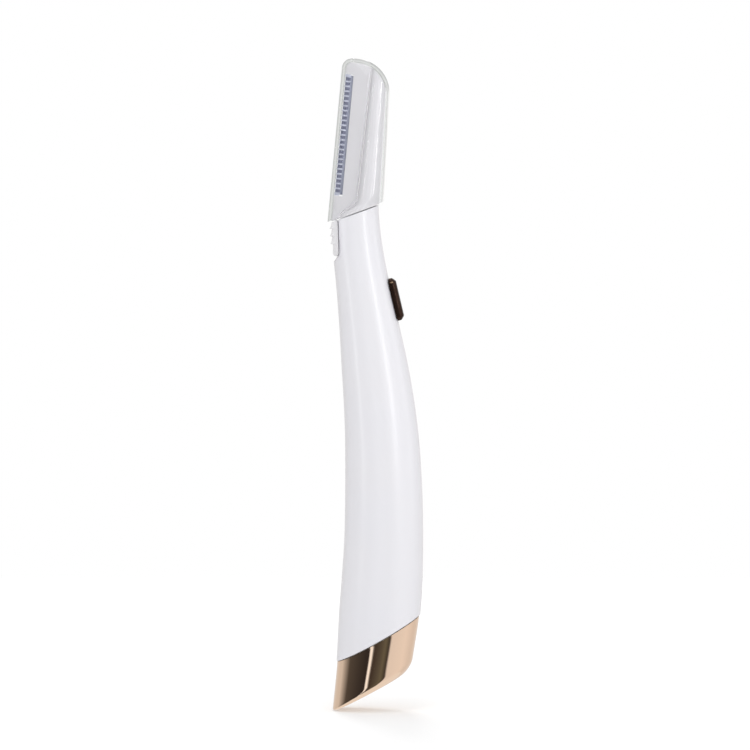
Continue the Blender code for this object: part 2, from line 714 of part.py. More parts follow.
def slide_button(finish, button):
    """The button: a bevelled bar that wraps the handle, a stem through the slot and a flange behind it."""
    half = BUTTON_WIDTH / 2
    end = BUTTON_LENGTH / 2
    bar = box("slide_button", (-BUTTON_WRAP, -half, -end), (BUTTON_PROUD, half, end), finish, button)
    rounded(bar, BUTTON_BEVEL)
    levels = np.linspace(BUTTON_HEIGHT - BUTTON_LENGTH, BUTTON_HEIGHT + BUTTON_LENGTH, 9)
    under = [body_ring(height, 0, inset=-SEAT_GAP) for height in levels]
    cut(bar, add_object("button_underside", loft("button_underside", under)))
    stem, ends = STEM_WIDTH / 2, STEM_LENGTH / 2
    low = (-BOSS_DEPTH, -stem, -ends)
    cut(bar, box("button_stem", low, (BUTTON_PROUD / 2, stem, ends), parent=button), "UNION")
    wide = stem + SEAT_GAP + FLANGE_OVERLAP
    low, high = (-FLANGE_DEPTH - FLANGE_THICKNESS, -wide, -ends), (-FLANGE_DEPTH, wide, ends)
    cut(bar, box("button_flange", low, high, parent=button), "UNION")
    wide = BOSS_WIDTH / 2
    low, high = (-BOSS_DEPTH, -wide, -ends), (-FLANGE_DEPTH - FLANGE_THICKNESS / 2, wide, ends)
    cut(bar, box("button_boss", low, high, parent=button), "UNION")
    pocket = (LEVER_WIDTH / 2 + SEAT_GAP, LEVER_LENGTH / 2 + SEAT_GAP)
    low = (-2 * BOSS_DEPTH, -pocket[0], -pocket[1])
    high = (-FLANGE_DEPTH - FLANGE_THICKNESS - SEAT_GAP / 2, pocket[0], pocket[1])
    cut(bar, box("lever_pocket", low, high, parent=button), solver="MANIFOLD")


def switch_pieces(shell_finish, metal, button):
    """The switch's housing on the board, and the lever that the button carries along it."""
    top = -BOSS_DEPTH - 2 * SEAT_GAP
    foot = top - SWITCH_THICKNESS
    half = SWITCH_WIDTH / 2
    middle = BUTTON_TRAVEL / 2
    low = (foot, -half, middle - SWITCH_LENGTH / 2)
    high = (top, half, middle + SWITCH_LENGTH / 2)
    housing = box("switch_housing", low, high, shell_finish, button)
    gap = SEAT_GAP
    wide, long = LEVER_WIDTH / 2, LEVER_LENGTH / 2
    low = (top - LEVER_FOOT - gap, -wide - gap, -long - gap)
    cut(housing, box("lever_slot", low, (0, wide + gap, long + BUTTON_TRAVEL + gap), parent=button))
    low, high = (top - LEVER_FOOT, -wide, -long), (top + LEVER_HEIGHT, wide, long)
    box("switch_lever", low, high, metal, button)


def circuit_board(finish, metal, resistor_finish, button):
    """The board, its two screws into the tray, and the resistor."""
    outer = -board_depth()
    inner = outer - BOARD_THICKNESS
    half = BOARD_WIDTH / 2
    low, high = (inner, -half, -BOARD_REACH_DOWN), (outer, half, BOARD_REACH_UP)
    board = box("circuit_board", low, high, finish, button)
    for number, height in enumerate(board_screw_heights()):
        radius = SCREW_SHANK_RADIUS + SEAT_GAP
        hole = cylinder("board_hole", radius, 2 * inner, 0, (0, 0, height), parent=button, axis="X")
        cut(board, hole)
        name = ("board_screw_lower", "board_screw_upper")[number]
        foot, head = outer + SEAT_GAP, outer + SEAT_GAP + SCREW_HEAD_HEIGHT
        centre = (0, 0, height)
        screw = cylinder(name, SCREW_HEAD_RADIUS, foot, head, centre, metal, button, "X", 16)
        shank = cylinder(
            name + "_shank",
            SCREW_SHANK_RADIUS,
            head - SCREW_LENGTH,
            (foot + head) / 2,
            centre,
            parent=button,
            axis="X",
            segments=16,
        )
        cut(screw, shank, "UNION")
    centre = (outer + SEAT_GAP + RESISTOR_RADIUS, 0, 0)
    start = -SWITCH_LENGTH / 2 - 2 * RESISTOR_RADIUS - RESISTOR_LENGTH
    end = start + RESISTOR_LENGTH
    cylinder("resistor", RESISTOR_RADIUS, start, end, centre, resistor_finish, button, segments=16)


def led(finish):
    """The light: a domed body with two legs that reach down beside the board's upper end."""
    dome = LED_RADIUS
    turns = np.linspace(0, math.pi / 2, 6)
    profile = [(dome * math.sin(turn), LED_LENGTH - dome + dome * math.cos(turn)) for turn in turns]
    profile += [(LED_RADIUS, 0), (0, 0)]
    lamp = turned("led", profile, (LED_X, 0, LED_FOOT), finish)
    lean = math.atan(button_lean())
    board_top = BUTTON_HEIGHT + BOARD_REACH_UP * math.cos(lean) + board_depth() * math.sin(lean)
    foot_z = board_top - LED_LEG_LAP
    face_x = smooth_through(BUTTON_HEIGHT, 2) + button_lean() * (foot_z - BUTTON_HEIGHT)
    face_x -= board_depth() / math.cos(lean)
    foot_x = face_x + (LED_LEG_RADIUS + SEAT_GAP) / math.cos(lean)
    drop = LED_FOOT - foot_z
    leg_axis = frame_empty("led_leg_axis", (LED_X, 0, LED_FOOT), (LED_X - foot_x) / drop)
    for side in (-1, 1):
        centre = (0, side * LED_LEG_SPREAD / 2, 0)
        leg = cylinder("led_leg", LED_LEG_RADIUS, -drop, LED_RADIUS / 2, centre, parent=leg_axis, segments=8)
        cut(lamp, leg, "UNION", "MANIFOLD")


def led_lens(finish):
    """The clear window over the light, in the top of the neck."""
    top = NECK_SEAM_HEIGHT + NECK_SEAM_SLOPE * (LED_X - LENS_RADIUS) - SEAT_GAP
    cylinder("led_lens", LENS_RADIUS, top - LENS_LENGTH, top, (LED_X, 0, 0), finish, segments=24)


def lead(name, start_x, foot, side, finish):
    """A lead from a battery contact up to the lower end of the board, on one side of the carrier's stem."""
    lean = math.atan(button_lean())
    depth = board_depth() + BOARD_THICKNESS / 2
    along = -BOARD_REACH_DOWN - 1.5 * SEAT_GAP
    end_x = smooth_through(BUTTON_HEIGHT, 2) - depth * math.cos(lean) + along * math.sin(lean)
    end_z = BUTTON_HEIGHT + depth * math.sin(lean) + along * math.cos(lean)
    y = side * (STEM_PLATE_WIDTH / 2 + WIRE_RADIUS + 2 * SEAT_GAP)
    route = []
    for up, out, across in LEAD_PATH:
        route.append((start_x + (end_x - start_x) * across, y * out, foot + (end_z - foot) * up))
    wire(name, route, WIRE_RADIUS, finish)


def cap_lines(inset, front_extra=0.0, back_extra=0.0):
    """The cap's front, top and back lines in the side view as point and direction, drawn in by the inset."""
    corners = np.array((CAP_FRONT_FOOT, CAP_FRONT_TOP, CAP_BACK_TOP, CAP_BACK_FOOT))
    insets = (inset + front_extra, inset, inset + back_extra)
    lines = []
    for start, end, drawn_in in zip(corners, corners[1:], insets):
        along = (end - start) / np.linalg.norm(end - start)
        inwards = np.array((along[1], -along[0]))
        lines.append((start + inwards * drawn_in, along))
    return lines


def crossing(first, second):
    """Point where two lines meet."""
    (p, a), (q, b) = first, second
    share = np.linalg.solve(np.column_stack((a, -b)), q - p)[0]
    return p + a * share


def round_corner(corner, before, after, radius, segments=8):
    """Points of an arc that replaces a corner between two directions."""
    half_turn = math.acos(float(np.clip(np.dot(before, after), -1, 1))) / 2
    reach = radius * math.tan(half_turn)
    start, end = corner - before * reach, corner + after * reach
    centre = start + np.array((before[1], -before[0])) * radius
    arm = start - centre
    points = []
    for share in np.linspace(0, 1, segments + 1):
        turn = -2 * half_turn * share
        cosine, sine = math.cos(turn), math.sin(turn)
        points.append(centre + np.array((arm[0] * cosine - arm[1] * sine, arm[0] * sine + arm[1] * cosine)))
    return points


def cap_outline(inset, front_extra=0.0, back_extra=0.0):
    """Side-view outline of the cap, or of what lies inside it, from below the neck's seam up."""
    front, top, back = cap_lines(inset, front_extra, back_extra)
    foot = (np.array((0.0, NECK_SEAM_HEIGHT - CAP_RUN_ON)), np.array((-1.0, 0.0)))
    points = [crossing(foot, front)]
    points += round_corner(crossing(front, top), front[1], top[1], CAP_FRONT_RADIUS - inset)
    points += round_corner(crossing(top, back), top[1], back[1], CAP_BACK_RADIUS - inset)
    points.append(crossing(back, foot))
    return points


def slab(name, outline, half, finish=None):
    """A flat body: the outline with half the thickness on each side of the middle plane."""
    rings = [[(x, y, z) for x, z in outline] for y in (-half, half)]
    return add_object(name, loft(name, rings), finish)


def side_line_x(side, height, inset):
    """X of the cap's straight front (side 0) or back (side 2) line at a height, drawn in by an inset."""
    point, along = cap_lines(inset)[side]
    return point[0] + (height - point[1]) * along[0] / along[1]


def back_line_x(height, inset):
    """X of the cap's straight back line at a height, drawn in by an inset."""
    return side_line_x(2, height, inset)


def spine_rings(offset, below, even_roundness):
    """Sections of the head's spine, grown by an offset and then carried on downwards."""
    table = np.array(SPINE_STATIONS)
    table[:, 1:3] = NECK_SEAM_HEIGHT + table[:, 1:3] * CAP_RISE
    table[0, 1] = seat_height(table[0, 0])
    table[0, 2] = seat_height(back_line_x(table[0, 2], CAP_WALL + CAP_GAP))
    fronts = table[:, :2]
    along = np.gradient(fronts, axis=0)
    along /= np.linalg.norm(along, axis=1)[:, None]
    outwards = np.column_stack((-along[:, 1], along[:, 0]))
    fronts = fronts + outwards * offset
    rings = []
    for number, ((front_x, front_z), (_, _, back_z, half)) in enumerate(zip(fronts, table)):
        back_x = back_line_x(back_z, CAP_WALL + CAP_GAP - offset)
        blend = min(number / SPINE_BLEND_RINGS, 1)
        roundness = even_roundness or BODY_ROUNDNESS + (SPINE_ROUNDNESS - BODY_ROUNDNESS) * blend
        x, y, _ = section(front_x, back_x, half + offset, 0, full_turn(), roundness)
        z = front_z + (back_z - front_z) * (x - front_x) / (back_x - front_x)
        rings.append(np.column_stack((x, y, z)))
    if offset:
        rings.append(rings[-1] + np.array((0, 0, offset)))
        rings.insert(0, rings[0] - np.array((0, 0, below)))
    return rings


def spine(name, offset, finish=None, below=0.0, even_roundness=None):
    """The thick back of the head or of the cap, its top cut to the rounded outline."""
    body = add_object(name, loft(name, spine_rings(offset, below, even_roundness)), finish)
    inset = CAP_WALL + CAP_GAP - offset
    outline = cap_outline(inset, -SEAT_GAP, -SEAT_GAP)
    cut(body, slab(name + "_outline", outline, 3 * SPINE_STATIONS[0][3]), "INTERSECT")
    return body


def seat_height(x):
    """Height of the head's underside over the neck's slanted top."""
    return NECK_SEAM_HEIGHT + SEAT_GAP + NECK_SEAM_SLOPE * x


def below_plane(name, lift):
    """A block that fills everything below the neck's slanted top, moved up by a lift."""
    frame = frame_empty(name + "_frame", (0, 0, NECK_SEAM_HEIGHT + lift), -NECK_SEAM_SLOPE)
    reach = NECK_SEAM_HEIGHT / 3
    return box(name, (-reach, -reach, -reach), (reach, reach, 0), parent=frame)


def grip_tail(name):
    """The head's grip tail: it completes the neck's section over the notch and has saw-tooth ledges."""
    levels = [(TAIL_FOOT, 0.0, TAIL_ROUND, 0.0), (TAIL_FOOT + TAIL_ROUND, 0.0, 0.0, 0.0)]
    for ledge in range(TAIL_LEDGES):
        height = NOTCH_FOOT + TAIL_FIRST_LEDGE + ledge * TAIL_LEDGE_PITCH
        levels.append((height - TAIL_LEDGE_DEPTH / 4, 0.0, 0.0, 0.0))
        levels.append((height, 0.0, 0.0, TAIL_LEDGE_DEPTH))
    levels.append((NECK_SEAM_HEIGHT, NECK_SEAM_SLOPE, 0.0, 0.0))
    rings = []
    for height, slope, inset, ledge_depth in levels:
        ring = body_ring(height, slope, inset=inset)
        face = notch_face(height + slope * NOTCH_FACE_X) - SEAT_GAP
        front = ring[:, 0].min()
        ring[:, 0] = np.minimum(ring[:, 0], face)
        ring[:, 0] -= ledge_depth * (face - ring[:, 0]) / (face - front)
        ring[:, 2] = height + slope * ring[:, 0]
        rings.append(ring)
    return add_object(name, loft(name, rings))


def head_body(finish, head, blade_frame):
    """The frosted head: spine, blade plate, plug into the neck and grip tail in one piece."""
    inset = CAP_WALL + CAP_GAP
    body = spine("head_body", 0.0, finish)
    plate = slab("head_plate", cap_outline(inset, back_extra=SEAT_GAP), PLATE_THICKNESS / 2)
    cut(body, plate, "UNION")
    cut(body, below_plane("head_seat", SEAT_GAP))
    half = HEAD_PLUG_WIDTH / 2
    seat = seat_height(NOTCH_FACE_X + SHELL_WALL) - NOTCH_FOOT
    low, high = (0, -half, seat - HEAD_PLUG_LENGTH), (HEAD_PLUG_THICKNESS, half, NOTCH_DEPTH)
    plug = box("head_plug", low, high, parent=head)
    cut(plug, below_plane("head_plug_top", 3 * SEAT_GAP), "INTERSECT")
    cut(body, plug, "UNION")
    cut(body, grip_tail("head_tail"), "UNION", "MANIFOLD")
    half = PLATE_THICKNESS / 2 - SEAT_GAP / 2
    face = notch_face(NECK_SEAM_HEIGHT)
    top = GUARD_FOOT - 4 * SEAT_GAP
    low = (side_line_x(0, top, inset) + SEAT_GAP, -half, seat_height(face) - 5 * SEAT_GAP)
    cut(body, box("tail_core", low, (face - SEAT_GAP, half, top)), "UNION", "MANIFOLD")
    gap = SEAT_GAP
    reach = GUARD_THICKNESS
    low, high = (-reach, -reach, -gap), (GUARD_WIDTH + gap, reach, GUARD_LENGTH + gap)
    cut(body, box("guard_notch", low, high, parent=blade_frame), solver="MANIFOLD")
    half = BLADE_THICKNESS / 2 + gap * 2 / 3
    low, high = (-reach, -half, -gap), (blade_front() + BLADE_WIDTH + gap, half, GUARD_LENGTH + gap)
    cut(body, box("blade_slot", low, high, parent=blade_frame), solver="MANIFOLD")
    hang_on(body, head)


def blade_front():
    """Distance of the blade's edge behind the guard's front."""
    return GUARD_LEG + SEAT_GAP / 2


def blade(finish, blade_frame):
    """The steel strip, ground to an edge at the front."""
    half, edge = BLADE_THICKNESS / 2, BLADE_THICKNESS / 20
    front, back = blade_front(), blade_front() + BLADE_WIDTH
    shoulder = front + BLADE_BEVEL
    outline = ((front, edge), (front, -edge), (shoulder, -half), (back, -half), (back, half), (shoulder, half))
    ends = (SEAT_GAP, GUARD_LENGTH - SEAT_GAP)
    rings = [[(x, y, end) for x, y in outline] for end in ends]
    add_object("blade", loft("blade", rings), finish, blade_frame)


def comb_guard(finish, blade_frame):
    """The folded steel guard over the blade's edge, with its row of slots."""
    half = GUARD_THICKNESS / 2
    guard = box("blade_guard", (0, -half, 0), (GUARD_WIDTH, half, GUARD_LENGTH), finish, blade_frame)
    inner = half - GUARD_LEG
    end = GUARD_WIDTH * 2
    low, high = (GUARD_LEG, -inner, -end), (end, inner, 2 * GUARD_LENGTH)
    channel = box("guard_channel", low, high, parent=blade_frame)
    cut(guard, channel)
    pitch = (GUARD_LENGTH - 2 * GUARD_END) / GUARD_SLOTS
    height = pitch * GUARD_SLOT_SHARE
    ends = (GUARD_END + pitch / 2, GUARD_LENGTH - GUARD_END - pitch / 2)
    shape = bmesh.new()
    for middle in np.linspace(*ends, GUARD_SLOTS):
        place = Matrix.Translation((GUARD_SLOT_LENGTH / 2 - half, 0, middle))
        size = Matrix.Diagonal((GUARD_SLOT_LENGTH + 2 * half, 4 * half, height, 1.0))
        bmesh.ops.create_cube(shape, size=1.0, matrix=place @ size)
    slots = add_object("guard_slots", mesh_from_bmesh("guard_slots", shape, smooth=False))
    slots.parent = blade_frame
    cut(guard, slots)


def safety_cap(finish, parent):
    """The clear cap: a thin front over the plate and a thick back over the spine, open below."""
    offset = CAP_GAP + CAP_WALL
    half = PLATE_THICKNESS / 2 + offset
    cap = spine("safety_cap", offset, finish, below=2 * SPINE_STATIONS[0][3])
    front = slab("cap_front", cap_outline(0, back_extra=SEAT_GAP), half)
    rounded(front, CAP_WALL / 2)
    cut(cap, front, "UNION")
    inner = slab("cap_front_hollow", cap_outline(CAP_WALL, back_extra=SEAT_GAP), PLATE_THICKNESS / 2 + CAP_GAP)
    cut(cap, inner)
    depth = 3 * SPINE_STATIONS[0][3]
    cut(cap, spine("cap_back_hollow", CAP_GAP, below=depth, even_roundness=CAP_HOLLOW_ROUNDNESS))
    cut(cap, below_plane("cap_rim", SEAT_GAP + CAP_GAP))
    hang_on(cap, parent)


def main():
    """Builds every piece in its place."""
    clear_scene()
    pearl = material("pearl_shell", (0.82, 0.82, 0.86), 0.35)
    rose_gold = material("rose_gold", (0.83, 0.58, 0.45), 0.12, metallic=1.0)
    bronze = material("bronze_button", (0.30, 0.18, 0.13), 0.2, metallic=1.0)
    frosted = material("frosted_head", (0.86, 0.86, 0.90), 0.4)
    clear = material("clear_plastic", (0.95, 0.95, 0.97), 0.05, transmission=1.0)
    lens = material("clear_lens", (0.95, 0.95, 0.95), 0.05, transmission=1.0)
    steel = material("blade_steel", (0.55, 0.58, 0.66), 0.25, metallic=1.0)
    guard_steel = material("guard_steel", (0.35, 0.40, 0.55), 0.25, metallic=1.0)
    inner_white = material("inner_plastic", (0.75, 0.75, 0.75), 0.5)
    contact_metal = material("contact_metal", (0.80, 0.78, 0.72), 0.3, metallic=1.0)
    black = material("black_plastic", (0.03, 0.03, 0.03), 0.5)
    green = material("board_green", (0.03, 0.22, 0.09), 0.5)
    cell = material("cell_jacket", (0.55, 0.57, 0.60), 0.35, metallic=0.6)
    red = material("red_lead", (0.6, 0.03, 0.03), 0.5)
    black_wire = material("black_lead", (0.03, 0.03, 0.03), 0.5)
    tan = material("resistor_body", (0.62, 0.50, 0.34), 0.5)

    back = smooth_through(BUTTON_HEIGHT, 2)
    button = frame_empty("button_slide_axis", (back, 0, BUTTON_HEIGHT), button_lean())
    plug_front = NOTCH_FACE_X + SHELL_WALL + SEAT_GAP
    head = frame_empty("head_slide_axis", (plug_front, 0, NOTCH_FOOT), -HEAD_LEAN)
    front_along = cap_lines(0.0)[0][1]
    foot = (side_line_x(0, GUARD_FOOT, CAP_WALL + CAP_GAP), 0, GUARD_FOOT)
    blade_frame = frame_empty("blade_axis", foot, front_along[0] / front_along[1])
    cap_slide = frame_empty("safety_cap_slide_axis", (0, 0, NECK_SEAM_HEIGHT), CAP_LEAN)
    end_slide = frame_empty("end_cap_slide_axis", (0, 0, END_SEAM_HEIGHT), END_CAP_LEAN)

    handle_shells(pearl, button, head)
    battery_carrier(inner_white, button)
    battery(cell)
    positive_contact(contact_metal)
    negative_strip(contact_metal)
    circuit_board(green, contact_metal, tan, button)
    switch_pieces(black, inner_white, button)
    slide_button(bronze, button)
    led(lens)
    led_lens(lens)
    over = bulkhead_top() + 2 * SEAT_GAP
    lead("lead_positive", tab_x(), over + TAB_PROUD, 1, red)
    lead("lead_negative", strip_x() + CONTACT_THICKNESS / 2, over + STRIP_PROUD, -1, black_wire)
    end_cap(rose_gold, end_slide)
    end_cap_plug(inner_white, end_slide)
    cap_contact(contact_metal, end_slide)
    spring = wire("battery_spring", coil_points(), SPRING_WIRE_RADIUS, contact_metal)
    hang_on(spring, end_slide)
    head_body(frosted, head, blade_frame)
    blade(steel, blade_frame)
    comb_guard(guard_steel, blade_frame)
    safety_cap(clear, cap_slide)


main()
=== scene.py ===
# %% [markdown]
# # A lighted facial hair remover
#
# The tool stands upright on its slanted foot. From the bottom up it has a mirror bright end cap over the
# battery, a curved pearl white handle made of two shells, a slide switch on the back, and a slim blade head
# under a clear safety cap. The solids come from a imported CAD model, and this script dresses them: it swaps the
# faceted outer pieces for finer surfaces worked out from the same outline, and gives every piece a finish.

import math

import bpy
import numpy as np
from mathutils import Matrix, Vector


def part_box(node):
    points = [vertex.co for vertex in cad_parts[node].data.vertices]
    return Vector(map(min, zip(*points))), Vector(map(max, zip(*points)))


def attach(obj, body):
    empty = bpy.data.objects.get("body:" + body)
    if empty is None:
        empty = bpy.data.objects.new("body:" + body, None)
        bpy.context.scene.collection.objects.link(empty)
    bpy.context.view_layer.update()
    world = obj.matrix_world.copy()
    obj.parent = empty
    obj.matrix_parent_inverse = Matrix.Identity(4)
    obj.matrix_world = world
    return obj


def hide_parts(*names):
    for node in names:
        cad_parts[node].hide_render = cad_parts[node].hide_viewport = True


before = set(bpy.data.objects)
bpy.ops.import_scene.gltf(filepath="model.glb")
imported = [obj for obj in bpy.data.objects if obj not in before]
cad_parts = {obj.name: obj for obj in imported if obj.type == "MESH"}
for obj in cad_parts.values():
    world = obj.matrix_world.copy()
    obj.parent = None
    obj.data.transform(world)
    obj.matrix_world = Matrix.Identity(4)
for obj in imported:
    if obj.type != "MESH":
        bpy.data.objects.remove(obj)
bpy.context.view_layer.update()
print("nodes:", len(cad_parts))

# %% [markdown]
# ## Camera
#
# The picture is a plain side view taken with a long lens, so there is hardly any perspective. A 200 mm lens a
# little over a metre away gives the same look. The camera stands a few degrees above the tool, which lets the
# floor and the soft shadow be seen as a thin strip under the foot.

# %% Place the camera
PICTURE_WIDTH = 0.195  # metres of the tool's own plane that the square picture spans
LENS, SENSOR = 200.0, 36.0
VIEW_X, VIEW_HEIGHT, VIEW_ELEVATION = -0.0001, 0.0875, math.radians(3.0)


def add_object(name, data):
    """An object that holds the data, placed in the scene."""
    made = bpy.data.objects.new(name, data)
    bpy.context.scene.collection.objects.link(made)
    return made


camera = add_object("camera", bpy.data.cameras.new("camera"))
camera.data.lens, camera.data.sensor_width = LENS, SENSOR
distance = PICTURE_WIDTH * LENS / SENSOR
rise = distance * math.sin(VIEW_ELEVATION)
camera.location = (VIEW_X, -distance * math.cos(VIEW_ELEVATION), VIEW_HEIGHT + rise)
camera.rotation_euler = (math.pi / 2 - VIEW_ELEVATION, 0.0, 0.0)
bpy.context.scene.camera = camera
bpy.context.scene.view_settings.view_transform = "Standard"
print(f"camera {distance:.3f} m away")

# %% [markdown]
# ## Helpers for materials
#
# Every finish starts from the same small steps: make a material, set the numbers on the Principled shader, and
# then let a few nodes vary colour, roughness and bump. Patterns read Object coordinates. Each piece sits at the
# origin with its place in its mesh, so one millimetre of pattern is one millimetre on the tool.

# %% Node helpers
FLOAT, COLOUR, VECTOR = "NodeSocketFloat", "NodeSocketColor", "NodeSocketVector"


def opaque(colour):
    """The colour with a full alpha, where it has none."""
    return (*colour, 1.0) if len(colour) == 3 else colour


def feed(tree, socket, value):
    """Links an output to the input socket, or sets the socket's own value."""
    if isinstance(value, bpy.types.NodeSocket):
        tree.links.new(value, socket)
    else:
        socket.default_value = opaque(value) if socket.type == "RGBA" else value


def add_node(tree, kind, *values, **named):
    """A shader node. Small names are its settings; values and capital names are its inputs, plain or linked."""
    node = tree.nodes.new("ShaderNode" + kind)
    for name in [name for name in named if name[0].islower()]:
        setattr(node, name, named.pop(name))
    for socket, value in zip(node.inputs, values):
        feed(tree, socket, value)
    for name, value in named.items():
        feed(tree, node.inputs[name.replace("_", " ")], value)
    return node


def math_step(tree, operation, *values):
    """The result of a Math node over numbers or output sockets."""
    return add_node(tree, "Math", *values, operation=operation).outputs[0]


def mixed(tree, share, first, second):
    """A colour that goes from the first to the second as the share goes from nought to one."""
    return add_node(tree, "Mix", data_type="RGBA", Factor=share, A=first, B=second).outputs["Result"]


def ramp_between(tree, value, low, high, at_low, at_high):
    """A value mapped from low..high to at_low..at_high and held outside; the two ends may be sockets."""
    made = add_node(tree, "MapRange", Value=value, From_Min=low, From_Max=high, To_Min=at_low, To_Max=at_high)
    return made.outputs["Result"]


def colour_ramp(tree, share, stops, interpolation="LINEAR"):
    """A Color Ramp read at the share, its stops given as (position, colour)."""
    ramp = add_node(tree, "ValToRGB", share)
    ramp.color_ramp.interpolation = interpolation
    elements = ramp.color_ramp.elements
    while len(elements) < len(stops):
        elements.new(0.5)
    for element, (position, colour) in zip(elements, stops):
        element.position, element.color = position, opaque(colour)
    return ramp.outputs


def axes(tree, vector):
    """The X, Y and Z outputs of a vector."""
    return add_node(tree, "SeparateXYZ", vector).outputs


def node_group(name, build, outputs=None, **inputs):
    """A node group: the build function takes it and its inputs, a vector first, and gives what it puts out.

    Each further input is given as a default number or as a type. Where no outputs are named, there is one colour.
    """
    outputs = outputs or {"Color": COLOUR}
    group = bpy.data.node_groups.new(name, "ShaderNodeTree")
    for label, value in {"Vector": VECTOR, **inputs}.items():
        kind = value if isinstance(value, str) else FLOAT
        socket = group.interface.new_socket(label.replace("_", " "), in_out="INPUT", socket_type=kind)
        if kind == FLOAT:
            socket.default_value = value
    for label, kind in outputs.items():
        group.interface.new_socket(label, in_out="OUTPUT", socket_type=kind)
    source, sink = group.nodes.new("NodeGroupInput"), group.nodes.new("NodeGroupOutput")
    made = build(group, *source.outputs[: len(inputs) + 1])
    for socket, value in zip(sink.inputs, made if isinstance(made, tuple) else (made,)):
        group.links.new(value, socket)
    return group


def place_group(tree, group, vector, **inputs):
    """The node group as a node in the tree, fed by the vector and by further inputs."""
    return add_node(tree, "Group", node_tree=group, Vector=vector, **inputs)


def object_space(tree, **mapping):
    """Object coordinates, stretched by a Scale or turned by a Rotation, as an output socket."""
    place = tree.nodes.new("ShaderNodeTexCoord").outputs["Object"]
    return add_node(tree, "Mapping", place, **mapping).outputs["Vector"]


# %% [markdown]
# Three effects come back in many finishes, so each is a node group that is built once. The first is the fine
# grain of moulded plastic: two noises, one for the grain and one for slow waviness, added together as a height.
# The second is uneven polish: a slow noise that moves the roughness a little up and down, as handling does.
# The third is a slow drift of the colour between two close tones, which keeps large plain areas from looking flat.

# %% Shared node groups


def moulded_grain(group, vector, scale, grain, wave):
    """Height = fine noise x grain + slow noise x waviness."""
    fine = add_node(group, "TexNoise", Vector=vector, Scale=scale, Detail=3.0, Roughness=0.6).outputs["Fac"]
    slow = add_node(group, "TexNoise", Vector=vector, Scale=90.0, Detail=1.0).outputs["Fac"]
    parts = [math_step(group, "MULTIPLY", *pair) for pair in ((fine, grain), (slow, wave))]
    return math_step(group, "ADD", *parts)


def uneven_polish(group, vector, scale, middle, spread):
    """Roughness = the middle value plus or minus a spread that follows a slow, streaky noise."""
    noise = add_node(group, "TexNoise", Vector=vector, Scale=scale, Detail=4.0, Roughness=0.65, Distortion=0.4)
    centred = math_step(group, "SUBTRACT", noise.outputs["Fac"], 0.5)
    return math_step(group, "ADD", math_step(group, "MULTIPLY", centred, spread), middle)


def tone_drift(group, vector, scale, tone, other):
    """Colour = a mix of two tones, where a slow noise says how much of each."""
    noise = add_node(group, "TexNoise", Vector=vector, Scale=scale, Detail=2.0)
    return mixed(group, noise.outputs["Fac"], tone, other)


MOULDED_GRAIN = node_group("moulded_grain", moulded_grain, {"Height": FLOAT}, Scale=4000.0, Grain=0.5, Wave=0.5)
UNEVEN_POLISH = node_group("uneven_polish", uneven_polish, {"Roughness": FLOAT},
                           Scale=120.0, Middle=0.3, Spread=0.05)
TONE_DRIFT = node_group("tone_drift", tone_drift, Scale=60.0, Tone=COLOUR, Other_Tone=COLOUR)


def shade(finish, **sockets):
    """Sets the named sockets of the material's Principled shader, to plain values or to outputs."""
    for socket, value in sockets.items():
        feed(finish.node_tree, finish.node_tree.nodes["Principled BSDF"].inputs[socket.replace("_", " ")], value)


def new_material(name, **sockets):
    """A material whose Principled shader has the sockets set by name."""
    made = bpy.data.materials.new(name)
    made.use_nodes = True
    shade(made, **sockets)
    return made


def bumped(tree, height, depth):
    """The normal of a surface raised by a height, where one stands for the depth in metres."""
    return add_node(tree, "Bump", Distance=depth, Height=height).outputs["Normal"]


def dress(name, tones, drift, polish, grain, stretch=(1.0, 1.0, 1.0), pattern=None, **sockets):
    """A finish with a colour that drifts between two tones, uneven polish and moulded grain.

    The drift is a noise scale, the polish is a noise scale with a middle and a spread, and the grain is a noise
    scale with the shares of grain and waviness and a depth. A pattern is a node group that takes the tone as its
    Tone and gives the colour.
    """
    scale, middle, spread = polish
    made = new_material(name, **{"Base_Color": tones[0], "Roughness": middle, **sockets})
    tree = made.node_tree
    vector = object_space(tree, Scale=stretch)
    if drift:
        tone = place_group(tree, TONE_DRIFT, vector, Scale=drift, Tone=tones[0], Other_Tone=tones[1]).outputs[0]
        if pattern:
            tone = place_group(tree, pattern, object_space(tree), Tone=tone).outputs[0]
        shade(made, Base_Color=tone)
    uneven = place_group(tree, UNEVEN_POLISH, vector, Scale=scale, Middle=middle, Spread=spread)
    shade(made, Roughness=uneven.outputs[0])
    if grain:
        scale, share, wave, depth = grain
        height = place_group(tree, MOULDED_GRAIN, vector, Scale=scale, Grain=share, Wave=wave)
        shade(made, Normal=bumped(tree, height.outputs[0], depth))
    return made


print("node groups:", [group.name for group in bpy.data.node_groups])

# %% [markdown]
# ## Studio
#
# The tool is shown on seamless white, with a very soft shadow. The floor is a pale diffuse sheet that also glows
# a little for the camera, so that it reads as white and still keeps the shadow. The world is white wherever the
# camera, a mirror or clear plastic looks at it, and a plain soft light for everything else.

# %% Floor and world
FLOOR_REACH, FLOOR_TONE, FLOOR_GLOW = 0.34, (0.80, 0.80, 0.80), 0.20
AMBIENT = 0.72


